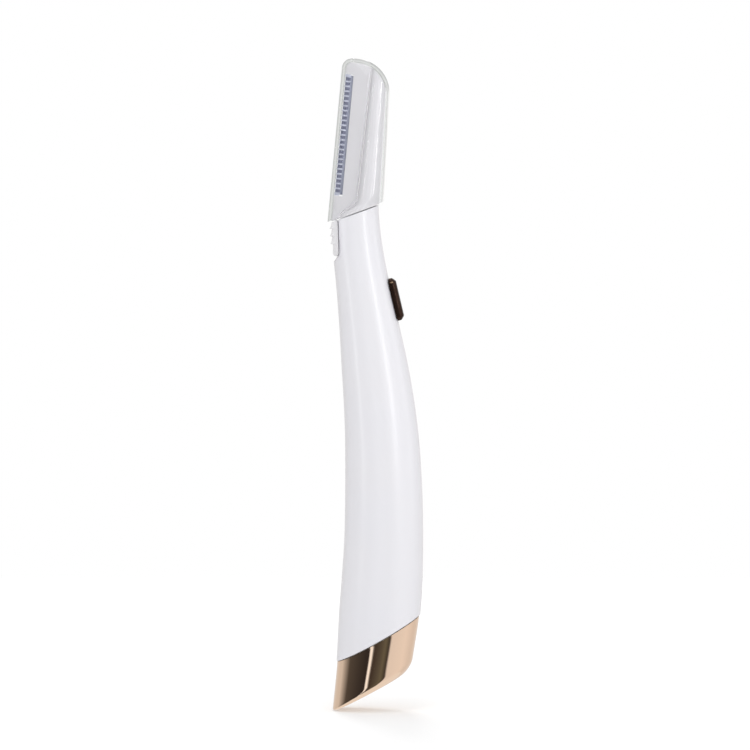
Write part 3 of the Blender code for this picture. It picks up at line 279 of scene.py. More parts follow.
def build_floor():
    """A flat square around the tool, its corners at plus and minus the reach, that glows to the camera alone."""
    corners = np.array([(-1, -1, 0), (1, -1, 0), (1, 1, 0), (-1, 1, 0)]) * FLOOR_REACH
    mesh = bpy.data.meshes.new("floor")
    mesh.from_pydata(corners.tolist(), [], [(0, 1, 2, 3)])
    sheet = new_material("white_sheet", Base_Color=FLOOR_TONE, Roughness=0.9, Specular_IOR_Level=0.0)
    tree = sheet.node_tree
    shader, seen = tree.nodes["Principled BSDF"].outputs[0], tree.nodes.new("ShaderNodeLightPath")
    glow = add_node(tree, "Emission", Strength=FLOOR_GLOW)
    lit = add_node(tree, "AddShader", shader, glow.outputs[0])
    either = add_node(tree, "MixShader", seen.outputs["Is Camera Ray"], shader, lit.outputs[0])
    feed(tree, tree.nodes["Material Output"].inputs["Surface"], either.outputs[0])
    mesh.materials.append(sheet)
    floor = add_object("floor", mesh)
    floor.visible_glossy = False


def build_world():
    """White to the camera, to mirrors and through clear plastic, and a softer level for all other light."""
    world = bpy.context.scene.world = bpy.data.worlds.new("studio_air")
    world.use_nodes = True
    tree = world.node_tree
    seen = tree.nodes.new("ShaderNodeLightPath").outputs
    direct = math_step(tree, "MAXIMUM", seen["Is Camera Ray"], seen["Is Glossy Ray"])
    direct = math_step(tree, "MAXIMUM", direct, seen["Is Transmission Ray"])
    level = math_step(tree, "MULTIPLY_ADD", direct, 1.0 - AMBIENT, AMBIENT)
    for name, value in (("Color", (1.0, 1.0, 1.0)), ("Strength", level)):
        feed(tree, tree.nodes["Background"].inputs[name], value)


build_floor()
build_world()
print("floor and world ready")

# %% [markdown]
# A mirror finish shows the room, so the room matters more than the lamps. Here it is a tall round wall that only
# reflections see. Going round it, the wall is bright on the right, dark in front with one narrow bright slit near
# the camera, and warm grey on the left. Its brightness is a table of angle against level, joined by straight
# lines, which a Color Ramp reads from the angle round the tool.

# %% Reflected room
WALL_RADIUS, WALL_LOW, WALL_HIGH, WALL_SIDES = 1.6, -1.2, 2.2, 96
# Angle in degrees round the tool, 0 towards the camera and 90 towards the switch, and the level there
ROOM_LEVELS = (
    (-180.0, (0.86, 0.84, 0.82)),
    (-100.0, (0.78, 0.76, 0.74)),
    (-60.0, (0.10, 0.09, 0.08)),
    (-8.0, (0.035, 0.03, 0.03)),
    (-6.8, (1.25, 1.30, 1.35)),
    (-3.6, (1.25, 1.30, 1.35)),
    (-2.4, (0.05, 0.035, 0.03)),
    (6.0, (0.11, 0.10, 0.08)),
    (12.0, (0.16, 0.15, 0.11)),
    (20.0, (0.05, 0.045, 0.04)),
    (24.0, (0.92, 0.90, 0.90)),
    (70.0, (1.00, 0.97, 0.96)),
    (110.0, (0.86, 0.83, 0.82)),
    (180.0, (0.86, 0.84, 0.82)),
)


def ring(x, y, z):
    """Points with the three coordinates, each an array or one number for all."""
    return np.column_stack(np.broadcast_arrays(x, y, z))


def build_room_wall():
    """A cylinder around the tool: angle runs once round, height from low to high, faces turned inwards."""
    turns = np.linspace(-math.pi, math.pi, WALL_SIDES + 1)[:-1]
    round_x, round_y = WALL_RADIUS * np.sin(turns), -WALL_RADIUS * np.cos(turns)
    points = np.concatenate([ring(round_x, round_y, z) for z in (WALL_LOW, WALL_HIGH)])
    first = np.arange(WALL_SIDES)
    after = (first + 1) % WALL_SIDES
    faces = np.column_stack((first, first + WALL_SIDES, after + WALL_SIDES, after))
    mesh = bpy.data.meshes.new("room_wall")
    mesh.from_pydata(points.tolist(), [], faces.tolist())
    glow = bpy.data.materials.new("room_glow")
    glow.use_nodes = True
    tree = glow.node_tree
    tree.nodes.remove(tree.nodes["Principled BSDF"])
    place = axes(tree, tree.nodes.new("ShaderNodeTexCoord").outputs["Object"])
    angle = math_step(tree, "ARCTAN2", place["X"], math_step(tree, "MULTIPLY", place["Y"], -1.0))
    share = math_step(tree, "MULTIPLY_ADD", angle, 1 / (2 * math.pi), 0.5)
    stops = [(degrees / 360.0 + 0.5, level) for degrees, level in ROOM_LEVELS]
    light = add_node(tree, "Emission", Color=colour_ramp(tree, share, stops)["Color"])
    feed(tree, tree.nodes["Material Output"].inputs["Surface"], light.outputs[0])
    mesh.materials.append(glow)
    wall = add_object("room_wall", mesh)
    for kind in ("camera", "diffuse", "transmission", "volume_scatter", "shadow"):
        setattr(wall, "visible_" + kind, False)


build_room_wall()
print("room wall has", len(ROOM_LEVELS), "levels")

# %% [markdown]
# Two tall soft lamps stand in front, one to each side. They give the long bright streaks down the handle. The
# right one is stronger, so the left edge of the tool falls off to a light grey. A side lamp and a broad fill,
# which no mirror shows, even out the rest. Two lamps overhead, one in front and one behind, fill the top of the
# head and lay the soft shadow around the foot.

# %% Lamps
# Name, place, height of the point that it faces, size and power
LAMPS = (
    ("lamp_right", (0.32, -0.73, 0.26), 0.10, (0.06, 0.34), 0.85),
    ("lamp_left", (-0.53, -0.60, 0.21), 0.10, (0.05, 0.40), 0.5),
    ("lamp_side", (0.95, -0.25, 0.30), 0.09, (0.30, 0.60), 0.5),
    ("lamp_fill", (0.22, -0.95, 0.36), 0.09, (0.45, 0.45), 1.25),
    ("lamp_over_front", (-0.06, -0.24, 0.98), 0.0, (0.26, 0.26), 1.1),
    ("lamp_over_back", (-0.08, 0.60, 0.80), 0.0, (0.30, 0.30), 2.2),
)
for name, (x, y, z), aim, size, power in LAMPS:
    lamp = add_object(name, bpy.data.lights.new(name, "AREA"))
    lamp.data.shape, lamp.data.energy = "RECTANGLE", power
    lamp.data.size, lamp.data.size_y = size
    lamp.location = (x, y, z)
    lamp.rotation_euler = (math.atan2(math.hypot(x, y), z - aim), 0.0, math.atan2(x, -y))
bpy.data.objects["lamp_fill"].visible_glossy = False
print("lamps:", [lamp[0] for lamp in LAMPS])

# %% [markdown]
# ## From numbers to surfaces
#
# The outer pieces are all lofts: a closed section curve is worked out at many levels, and the sections are joined
# into a skin. A section is a superellipse, a rounded shape between an ellipse and a rectangle. Its sizes come from
# a short table of widths read at twelve heights, with a smooth cubic curve through them.

# %% Outline of the handle
# height, front edge, back edge, half thickness
OUTLINE = np.array(
    (
        (0.000, -0.01140, 0.0082, 0.0070),
        (0.013, -0.01015, 0.0099, 0.0077),
        (0.025, -0.00950, 0.0117, 0.0080),
        (0.045, -0.00810, 0.01245, 0.0081),
        (0.060, -0.00785, 0.0121, 0.0079),
        (0.075, -0.00800, 0.0109, 0.0073),
        (0.090, -0.00880, 0.0085, 0.0065),
        (0.102, -0.00950, 0.00585, 0.0058),
        (0.112, -0.01030, 0.00355, 0.0053),
        (0.120, -0.01110, 0.0020, 0.00495),
        (0.128, -0.01140, 0.0010, 0.0048),
        (0.136, -0.01140, 0.0008, 0.0047),
    )
)
FRONT, BACK, HALF = 1, 2, 3
ROUNDNESS = 2.35  # exponent of the superellipse
GAP = 0.0003  # clearance between neighbouring pieces
SHELL_GAP = 0.0002
ROUND_POINTS = 96
NOTCH_FOOT, NOTCH_FACE, HEAD_LEAN = 0.119, -0.0093, 0.035
SHOULDER_SLOPE = 0.75


def hermite(t, span, values, slopes, i):
    """Cubic between rows i and i + 1 of the values, with the given slopes at both, at the share t of the span."""
    start = (1 + 2 * t) * (1 - t) ** 2 * values[i] + t * (1 - t) ** 2 * span * slopes[i]
    return start + t**2 * (3 - 2 * t) * values[i + 1] + t**2 * (t - 1) * span * slopes[i + 1]


def width_at(height, column):
    """Hermite curve through a column of the outline, its slopes taken from the neighbouring stations."""
    heights, values = OUTLINE[:, 0], OUTLINE[:, column]
    i = np.clip(np.searchsorted(heights, height) - 1, 0, len(heights) - 2)
    span = heights[i + 1] - heights[i]
    return hermite((height - heights[i]) / span, span, values, np.gradient(values, heights), i)


def round_angles(count=ROUND_POINTS):
    """Evenly spaced angles once round a section."""
    return np.arange(count) * 2 * math.pi / count


def superellipse(front, back, half, inset, angles, roundness):
    """x = middle + half length * sign(cos) |cos|^(2/n) and y = half thickness * sign(sin) |sin|^(2/n)."""
    across, up = (np.sign(value) * np.abs(value) ** (2 / roundness) for value in (np.cos(angles), np.sin(angles)))
    return (front + back) / 2 + ((back - front) / 2 - inset) * across, (half - inset) * up, across


def notch_face(height):
    """x of the neck's front behind the grip tail: a leaning face above, a sloped shoulder below."""
    face = NOTCH_FACE - HEAD_LEAN * (height - NOTCH_FOOT)
    return np.minimum(face, NOTCH_FACE - SHOULDER_SLOPE * (NOTCH_FOOT - height))


def body_section(height, slope, bow=0.0, inset=0.0, angles=round_angles(), notch=False):
    """The body's section on the plane z = height + slope x, bowed down in the middle, as an array of points."""
    front, back = width_at(height, FRONT), width_at(height, BACK)
    for _ in range(8):  # an edge's height follows from its x, so both are found in turn
        front = width_at(height + slope * front, FRONT)
        back = width_at(height + slope * back, BACK)
    half = width_at(height + slope * (front + back) / 2, HALF)
    x, y, across = superellipse(front, back, half, inset, angles, ROUNDNESS)
    if notch:
        x = np.maximum(x, notch_face(height + slope * NOTCH_FACE) + inset)
    return ring(x, y, height + slope * x - bow * (1 - across**2))


print("handle is widest at 45 mm:", float(width_at(0.045, BACK) - width_at(0.045, FRONT)))

# %% [markdown]
# A loft becomes a mesh in one go: all sections are stacked into one array, the four corners of every face are
# found by index arithmetic, and each open end is closed by a fan round its middle point. The signed volume says
# whether the faces point outwards; where it is negative they are all turned round.

# %% Mesh helpers


def signed_volume(points, triangles):
    """One sixth of the sum of the corner triple products, positive where faces point outwards."""
    a, b, c = (points[triangles[:, k]] for k in range(3))
    return np.einsum("ij,ij->i", a, np.cross(b, c)).sum() / 6


def mesh_from_faces(name, points, quads, triangles=()):
    """An object whose faces point outwards, from quads and triangles given as index arrays."""
    quads, triangles = np.reshape(quads, (-1, 4)).astype(int), np.reshape(triangles, (-1, 3)).astype(int)
    halves = np.concatenate((quads[:, [0, 1, 2]], quads[:, [0, 2, 3]], triangles))
    if signed_volume(points, halves) < 0:
        quads, triangles = quads[:, ::-1], triangles[:, ::-1]
    mesh = bpy.data.meshes.new(name)
    mesh.from_pydata(points.tolist(), [], quads.tolist() + triangles.tolist())
    return add_object(name, mesh)


def loft(name, sections):
    """A closed skin over equal sections, its two ends closed by fans round their middle points."""
    sections = np.asarray(sections, float)
    levels, count, _ = sections.shape
    points = np.vstack((sections.reshape(-1, 3), sections[0].mean(0), sections[-1].mean(0)))
    row = np.arange(levels - 1)[:, None] * count
    first = np.arange(count)
    after = (first + 1) % count
    quads = np.stack((row + first, row + after, row + after + count, row + first + count), -1)
    low, top = levels * count, (levels - 1) * count
    below = ring(after, first, low)
    over = ring(first + top, after + top, low + 1)
    return mesh_from_faces(name, points, quads, np.vstack((below, over)))


def leaning(points, origin, lean):
    """Points given in a frame at an origin, whose Z axis leans by lean metres towards +X for each metre up."""
    points = np.asarray(points, float)
    turn = math.atan(lean)
    cosine, sine = math.cos(turn), math.sin(turn)
    x = origin[0] + points[..., 0] * cosine + points[..., 2] * sine
    z = origin[2] - points[..., 0] * sine + points[..., 2] * cosine
    return np.stack((x, origin[1] + points[..., 1], z), -1)


def block(x_span, y_span, z_span, origin=(0.0, 0.0, 0.0), lean=0.0):
    """A box in a leaning frame; a single number for y stands for as much to both sides."""
    (x0, x1), (y0, y1) = x_span, y_span if isinstance(y_span, tuple) else (-y_span, y_span)
    rings = [ring((x0, x1, x1, x0), (y0, y0, y1, y1), z) for z in z_span]
    return loft("block", leaning(rings, origin, lean))


def rod(radius, z_span, origin, lean=0.0, count=48):
    """A round bar along Z of a leaning frame, its circle sampled count times."""
    turns = round_angles(count)
    rings = [ring(radius * np.cos(turns), radius * np.sin(turns), z) for z in z_span]
    return loft("rod", leaning(rings, origin, lean))


def change(body, kind, **settings):
    """Replaces the body's mesh by what one modifier makes of it."""
    step = body.modifiers.new("change", kind)
    for setting, value in settings.items():
        setattr(step, setting, value)
    graph = bpy.context.evaluated_depsgraph_get()
    mesh, old = bpy.data.meshes.new_from_object(body.evaluated_get(graph)), body.data
    body.modifiers.clear()
    body.data = mesh
    bpy.data.meshes.remove(old)


def carve(body, other, operation="DIFFERENCE"):
    """Cuts, joins or intersects the body with another shape at once, and removes that other shape."""
    change(body, "BOOLEAN", operation=operation, solver="MANIFOLD", object=other)
    bpy.data.objects.remove(other)
    return body


def settle(body, finish, ride_on, stands_for, smooth_angle):
    """Gives a finished piece its material, smooth shading and the body it moves with, and hides the node it stands
    for.
    """
    mesh = body.data
    mesh.materials.clear()
    mesh.materials.append(finish)
    mesh.shade_smooth()
    mesh.set_sharp_from_angle(angle=math.radians(smooth_angle))
    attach(body, ride_on)
    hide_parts(stands_for)
    mesh.calc_loop_triangles()
    print(f"{body.name}: {len(mesh.loop_triangles)} triangles")


print("helpers ready")

# %% [markdown]
# ## Pearl white handle
#
# The handle is two mouldings that meet on the middle plane. Its plastic is a warm-cool white with a silky pearl
# sheen: the colour drifts a little between two tones, the surface carries a very fine grain, and a clear coat
# gives the soft streaks. The seam between the shells is left as a hair-thin gap, as on the real one.

# %% Pearl plastic
pearl = dress("pearl_plastic", ((0.755, 0.755, 0.800), (0.775, 0.765, 0.790)), 55.0, (140.0, 0.38, 0.08),
              (5200.0, 0.5, 0.6, 12e-6), Coat_Weight=0.55, Coat_Roughness=0.22)

# %% Handle shells
SEAM_HEIGHT, SEAM_SLOPE, SEAM_BOW, SEAM_FADE = 0.01864, 0.561, 0.0004, 0.0264
NECK_HEIGHT, NECK_SLOPE, NECK_FADE = 0.13126, 0.364, 0.0103
WALL, NECK_WALL = 0.0012, 0.0015
SHOULDER_STEPS = (0.0025, 0.0020, 0.0010, 0.0)
TOP_INSET, TOP_RISE = 0.0007, 0.00022
PLUG_WIDTH = 0.0026
SWITCH_HEIGHT, LAMP_X, LENS_RADIUS = 0.1071, -0.0022, 0.0016
switch_rise = width_at(SWITCH_HEIGHT + 0.0005, BACK) - width_at(SWITCH_HEIGHT - 0.0005, BACK)
SWITCH_LEAN = float(switch_rise / 0.001)
SWITCH_ORIGIN = (float(width_at(SWITCH_HEIGHT, BACK)), 0.0, SWITCH_HEIGHT)
# A frame is an origin and a lean: the switch's on the handle's back, and the socket's behind the neck's front
SWITCH = (SWITCH_ORIGIN, SWITCH_LEAN)
SOCKET = ((NOTCH_FACE + WALL + GAP, 0.0, NOTCH_FOOT), -HEAD_LEAN)
# Spans in x, y and z, a single number for y being as much to both sides
SWITCH_SLOT = ((-0.0042, 0.0021), 0.0012, (-0.0018, 0.0043))
SOCKET_HOLE = ((-1.5 * GAP, PLUG_WIDTH + 1.2 * GAP), 0.0029, (0.0, 0.0138))
RIB_X, RIB_Y, RIB_Z = (PLUG_WIDTH + GAP, PLUG_WIDTH + GAP + 0.0007), 0.0043, (-0.0005, 0.0098)
LENS_HOLE = (0.1238, 0.1328)
LIP_CLEARANCE, LIP_X, LIP_Y, LIP_Z = 0.00004, 0.00036, (-0.0013, 0.0005), (SEAM_HEIGHT + 0.012, 0.1174)


def handle_levels(above=0.0, below=0.0):
    """Height, slope and bow of each section: slanted at the end cap and at the neck, level in between."""
    shoulder = NOTCH_FOOT - np.array(SHOULDER_STEPS)
    middle = np.linspace(SEAM_HEIGHT, shoulder[0], 100, endpoint=False)[1:]
    neck = np.linspace(NECK_HEIGHT - NECK_FADE, NECK_HEIGHT - above, 9)
    heights = np.concatenate(((SEAM_HEIGHT - below,), middle, shoulder, neck))
    end_share = np.clip(1 - (heights - SEAM_HEIGHT) / SEAM_FADE, 0, 1)
    neck_share = np.clip((heights - NECK_HEIGHT + NECK_FADE) / NECK_FADE, 0, 1)
    return ring(heights, SEAM_SLOPE * end_share + NECK_SLOPE * neck_share, SEAM_BOW * end_share**2)


def seam_lip():
    """A thin lip behind the front seam, a four-sided section up the inner wall, so that no light passes through."""
    heights = np.linspace(*LIP_Z, 70)
    outer = np.maximum(width_at(heights, FRONT), notch_face(heights)) + WALL + LIP_CLEARANCE
    corners = zip((0.0, LIP_X, LIP_X, 0.0), np.repeat(LIP_Y, 2))
    return loft("seam_lip", np.stack([ring(outer + depth, y, heights) for depth, y in corners], 1))


def handle_half(name, side):
    """One shell: half sections on one side of the middle plane, hollowed, with its rib and openings.

    The last section is drawn in and raised a little, so that no light passes under the head.
    """
    angles = np.linspace(0, math.pi, ROUND_POINTS // 2 + 1)
    sections = [body_section(*level, angles=angles, notch=True) for level in handle_levels()]
    top = body_section(NECK_HEIGHT, NECK_SLOPE, inset=TOP_INSET, angles=angles, notch=True)
    sections = np.array([*sections, top + np.array((0.0, 0.0, TOP_RISE))])
    sections[..., 1] = side * np.maximum(sections[..., 1], SHELL_GAP / 2)
    shell = loft(name, sections)
    inner = [body_section(*level, inset=WALL, notch=True) for level in handle_levels(NECK_WALL, 3 * WALL)]
    carve(shell, loft("hollow", inner))
    rib_y = tuple(sorted((side * SHELL_GAP / 2, side * RIB_Y)))
    carve(shell, block(RIB_X, rib_y, RIB_Z, *SOCKET), "UNION")
    carve(shell, block(*SWITCH_SLOT, *SWITCH))
    carve(shell, block(*SOCKET_HOLE, *SOCKET))
    carve(shell, rod(LENS_RADIUS + GAP / 2, LENS_HOLE, (LAMP_X, 0.0, 0.0)))
    return carve(shell, seam_lip(), "UNION") if side < 0 else shell


for name, side in (("handle_shell_left", -1), ("handle_shell_right", 1)):
    settle(handle_half(name + "_skin", side), pearl, "handle", name, 28.0)

# %% [markdown]
# ## Rose gold end cap
#
# The battery cap is plastic with a bright rose gold plating, so it behaves as a coloured mirror: fully metallic
# and almost perfectly smooth. A faint unevenness in the polish and a very slow waviness keep the reflections from
# looking computed. Its foot is cut at a slant, with a small round at the front tip and a larger one at the back.

# %% Rose gold plating
rose_gold = dress("rose_gold_plating", ((0.80, 0.61, 0.465), (0.79, 0.595, 0.45)), 80.0, (260.0, 0.055, 0.03),
                  (2500.0, 0.15, 0.8, 6e-6), Roughness=0.06, Metallic=1.0)

# %% End cap
FOOT_HEIGHT, FOOT_SLOPE = 0.00555, 0.523
CAP_INSET, CAP_CUP_WALL = 0.00025, 0.0010
FOOT_ROUNDS = (0.0008, 0.0030)  # at the front tip and at the back


def cup_sections(inset, lift, rise, steps, round_steps):
    """Sections from the foot up: the foot's edge is a quarter circle whose radius grows from front to back."""
    back_share = (1 + np.cos(round_angles())) / 2
    radius = FOOT_ROUNDS[0] + (FOOT_ROUNDS[1] - FOOT_ROUNDS[0]) * back_share
    radius = np.maximum(radius - (inset - CAP_INSET), GAP)
    rim, foot = SEAM_HEIGHT + rise, FOOT_HEIGHT + lift
    sections = []
    for share in np.linspace(0, 1, steps, endpoint=False):
        height = rim + (foot + radius - rim) * share
        slope = SEAM_SLOPE + (FOOT_SLOPE - SEAM_SLOPE) * share
        sections.append(body_section(height, slope, SEAM_BOW * (1 - share), inset))
    for turn in np.linspace(0, math.pi / 2, round_steps):
        height = foot + radius * (1 - math.sin(turn))
        sections.append(body_section(height, FOOT_SLOPE, 0, inset + radius * (1 - math.cos(turn))))
    return sections[::-1]


cup = loft("end_cap_skin", cup_sections(CAP_INSET, 0, -GAP, 24, 10))
inner = cup_sections(CAP_INSET + CAP_CUP_WALL, CAP_CUP_WALL, 2 * CAP_CUP_WALL, 12, 6)
settle(carve(cup, loft("end_cap_hollow", inner)), rose_gold, "end_cap", "end_cap", 40.0)

# %% [markdown]
# ## Blade head
#
# Seen from the side, the head and its clear cap share one outline: a straight front, a short slanted top and a
# straight back, with a small round at the front corner and a large one at the back. The head is the same outline
# drawn in by the cap's wall and a clearance. Its front part is a thin plate. Its back part is a thick spine that
# grows out of the neck and narrows towards the top, so the two meet in a step that sweeps up the head.

# %% Outline of the head
CAP_CORNERS = np.array(((-0.01234, 0.1280), (-0.00840, 0.1698), (0.00415, 0.1687), (0.00217, 0.1338)))
CORNER_RADII = (0.0026, 0.0090)
CAP_WALL, CAP_GAP = 0.0008, 0.00025
HEAD_INSET = CAP_WALL + CAP_GAP
OUTLINE_FOOT = 0.1200


def right_of(direction):
    """The direction turned a quarter to the right, which is into the outline."""
    return np.array((direction[1], -direction[0]))


def cap_lines(inset, front_extra=0.0, back_extra=0.0):
    """Front, top and back lines as point and direction, each moved inwards by its inset."""
    lines = []
    for start, end, extra in zip(CAP_CORNERS, CAP_CORNERS[1:], (front_extra, 0.0, back_extra)):
        along = (end - start) / np.linalg.norm(end - start)
        lines.append((start + right_of(along) * (inset + extra), along))
    return lines


def crossing(first, second):
    """Point where two lines p + s a and q + t b meet: s comes from solving a s - b t = q - p."""
    (p, a), (q, b) = first, second
    return p + a * np.linalg.solve(np.column_stack((a, -b)), q - p)[0]


def corner_arc(first, second, radius, steps):
    """Arc between two lines: centre + the arm to its start, turned in even steps through the bend."""
    before, after = first[1], second[1]
    bend = math.acos(float(np.clip(before @ after, -1, 1)))
    start = crossing(first, second) - before * radius * math.tan(bend / 2)
    centre = start + right_of(before) * radius
    turns, arm = -bend * np.linspace(0, 1, steps + 1), start - centre
    cosine, sine = np.cos(turns), np.sin(turns)
    return centre + np.column_stack((arm[0] * cosine - arm[1] * sine, arm[0] * sine + arm[1] * cosine))


def cap_outline(inset, front_extra=0.0, back_extra=0.0):
    """The outline as points (x, z) from the front foot over the top to the back foot."""
    front, top, back = cap_lines(inset, front_extra, back_extra)
    foot = (np.array((0.0, OUTLINE_FOOT)), np.array((-1.0, 0.0)))
    front_arc = corner_arc(front, top, CORNER_RADII[0] - inset, 20)
    back_arc = corner_arc(top, back, CORNER_RADII[1] - inset, 40)
    return np.vstack((crossing(foot, front), front_arc, back_arc, crossing(back, foot)))


def side_line_x(side, height, inset):
    """x of the front (0) or back (2) line at a height, drawn in by the inset."""
    point, along = cap_lines(inset)[side]
    return point[0] + (height - point[1]) * along[0] / along[1]


def slab(name, half, rounding=0.0, inner=(), inset=0.0, **extras):
    """A flat body over the outline: rings (inset, y) run from one face round the edge to the other face."""
    turns = np.linspace(0, math.pi / 2, 6) if rounding else np.array((math.pi / 2,))
    insets = np.concatenate((sorted(inner, reverse=True), rounding * (1 - np.sin(turns))))
    depths = np.concatenate((np.full(len(inner), half), half - rounding * (1 - np.cos(turns))))
    sections = []
    for extra, y in zip(np.concatenate((insets, insets[::-1])), np.concatenate((-depths, depths[::-1]))):
        points = cap_outline(inset + extra, **extras)
        sections.append(ring(points[:, 0], y, points[:, 1]))
    return loft(name, sections)


# X of the spine's front edge, height there, height at its back edge, half thickness
SPINE = np.array(
    (
        (-0.00970, 0.12803, 0.13192, 0.00480),
        (-0.00830, 0.12970, 0.13300, 0.00476),
        (-0.00590, 0.13130, 0.13420, 0.00470),
        (-0.00475, 0.13300, 0.13560, 0.00465),
        (-0.00420, 0.13650, 0.13860, 0.00455),
        (-0.00350, 0.14260, 0.14380, 0.00435),
        (-0.00240, 0.15250, 0.15300, 0.00395),
        (-0.00150, 0.16050, 0.16050, 0.00345),
        (-0.00110, 0.16450, 0.16450, 0.00290),
        (-0.00080, 0.16850, 0.16850, 0.00160),
    )
)
SPINE_ROUNDNESS, HOLLOW_ROUNDNESS = 2.7, 3.0
EASE_ROWS = 4  # rows of the table over which the spine's roundness leaves the neck's
TRIM_HALF, TRIM_EXTRA, SEAT_REACH = 0.0144, -0.00003, 0.044


def seat_height(x):
    """Height of the head's slanted underside at x."""
    return NECK_HEIGHT + GAP + NECK_SLOPE * x


def smooth_table(table, each):
    """A table of stations with more rows: Hermite curves over the row number, each row split into equal steps."""
    place = np.linspace(0, len(table) - 1, each * (len(table) - 1) + 1)
    i = np.minimum(place.astype(int), len(table) - 2)
    return hermite((place - i)[:, None], 1, table, np.gradient(table, axis=0), i)


def spine_sections(offset, below=0.0, even_roundness=None, each=5, count=ROUND_POINTS):
    """Slanted superellipses up the spine, grown by an offset, their roundness easing from neck to head."""
    table = SPINE.copy()
    table[0, 1] = seat_height(table[0, 0])
    table[0, 2] = seat_height(side_line_x(2, table[0, 2], HEAD_INSET))
    table = smooth_table(table, each)
    along = np.gradient(table[:, :2], axis=0)
    along /= np.linalg.norm(along, axis=1)[:, None]
    fronts = table[:, :2] + np.column_stack((-along[:, 1], along[:, 0])) * offset
    sections = []
    for number, ((front_x, front_z), (_, _, back_z, half)) in enumerate(zip(fronts, table)):
        back_x = side_line_x(2, back_z, HEAD_INSET - offset)
        blend = min(number / each / EASE_ROWS, 1)
        roundness = even_roundness or ROUNDNESS + (SPINE_ROUNDNESS - ROUNDNESS) * blend
        x, y, _ = superellipse(front_x, back_x, half + offset, 0, round_angles(count), roundness)
        sections.append(ring(x, y, front_z + (back_z - front_z) * (x - front_x) / (back_x - front_x)))
    if offset:
        sections.append(sections[-1] + np.array((0, 0, offset)))
        sections.insert(0, sections[0] - np.array((0, 0, below)))
    return sections


def spine(name, offset, *shape, **detail):
    """The spine as a body, its top and back trimmed to the rounded outline."""
    body = loft(name, spine_sections(offset, *shape, **detail))
    trim = slab("trim", TRIM_HALF, inset=HEAD_INSET - offset, front_extra=TRIM_EXTRA, back_extra=TRIM_EXTRA)
    return carve(body, trim, "INTERSECT")


def below_seat(lift):
    """A block that fills everything under the neck's slanted top, moved up by a lift."""
    x_span, z_span = (-SEAT_REACH, SEAT_REACH), (-SEAT_REACH, 0.0)
    return block(x_span, SEAT_REACH, z_span, (0.0, 0.0, NECK_HEIGHT + lift), -NECK_SLOPE)


print("outline has", len(cap_outline(0.0)), "points; spine has", len(spine_sections(0.0)), "sections")

# %% [markdown]
# The head's grip tail fills the notch at the front of the neck, so both together make the neck's full section.
# It has three saw-tooth ledges that a thumb can push against. The ledges rise towards the back, parallel to the
# seam under the head. A flat plug behind the tail goes down into a socket in the neck.
#
# The head's colour carries painted shade: the thin plate is painted greyer than the thick spine, and the spine
# greyer than the tail, which rests on the white neck. A node group reads how far a point is from the middle plane
# and how far it is above the neck's seam, and gives the painted share of light for each of the three.

# %% Frosted plastic
# Painted shares of light: painted shade on the plate and the spine, a painted lift on the tail
PLATE_SHARE, SPINE_SHARE, TAIL_SHARE = 0.77, 0.84, 1.04
PLATE_HALF, PLATE_ROUND = 0.0011, 0.0003
STEP_FADE = (0.0001, 0.0005)  # where the spine's share begins and is full, beyond the plate's face


def head_painted_shade(group, vector, tone):
    """Color = Tone x painted shade: plate share near the middle plane, spine share beside it, tail share below the
    seam.
    """
    place = axes(group, vector)
    beside = math_step(group, "ABSOLUTE", place["Y"])
    start, end = (PLATE_HALF + beyond for beyond in STEP_FADE)
    share = ramp_between(group, beside, start, end, PLATE_SHARE, SPINE_SHARE)
    above = math_step(group, "SUBTRACT", place["Z"], math_step(group, "MULTIPLY", place["X"], NECK_SLOPE))
    share = ramp_between(group, above, NECK_HEIGHT + GAP / 3, NECK_HEIGHT + 2 * GAP / 3, TAIL_SHARE, share)
    return add_node(group, "VectorMath", tone, operation="SCALE", Scale=share).outputs[0]


HEAD_PAINTED_SHADE = node_group("head_painted_shade", head_painted_shade, Tone=COLOUR)
# The frosted head's colour carries the head's painted shade
frost = dress("frosted_plastic", ((0.80, 0.795, 0.825), (0.815, 0.805, 0.825)), 160.0, (300.0, 0.42, 0.10),
              (6500.0, 0.7, 0.4, 16e-6), pattern=HEAD_PAINTED_SHADE, Coat_Weight=0.25, Coat_Roughness=0.25)

# %% Head body
TAIL_FOOT, TAIL_ROUND, TAIL_FIRST_TURN, TAIL_BULGE = 0.1184, 0.0007, 0.15, 0.00022
LEDGE_FOOT, LEDGE_PITCH, LEDGE_COUNT, LEDGE_DEPTH, LEDGE_SLOPE = 0.1217, 0.0020, 3, 0.00065, 0.22
LEDGE_NARROWS = 0.09  # share of the width lost where a ledge is deepest
# Height over each ledge's own, and the share of the depth there
LEDGE_STEPS = ((-0.00022, 0.0), (-0.00006, 0.8), (0.00006, 1.0), (0.00040, 0.55))
BLADE_FOOT = 0.1342
GUARD_LENGTH, GUARD_WIDTH, GUARD_THICKNESS, GUARD_LEG = 0.0315, 0.0020, 0.0012, 0.00035
BLADE_WIDTH, BLADE_THICKNESS = 0.0036, 0.0002
NOTCH_MARGIN, PLUG_LENGTH, PLUG_TOP_Z, PLUG_ROUND = 0.00012, 0.0120, 0.01226, 0.0002
front_direction = cap_lines(0.0)[0][1]
BLADE_LEAN = float(front_direction[0] / front_direction[1])
BLADE_ORIGIN = (float(side_line_x(0, BLADE_FOOT, HEAD_INSET)), 0.0, BLADE_FOOT)
BLADE = (BLADE_ORIGIN, BLADE_LEAN)
BLADE_BACK = GUARD_LEG + GAP / 2 + BLADE_WIDTH


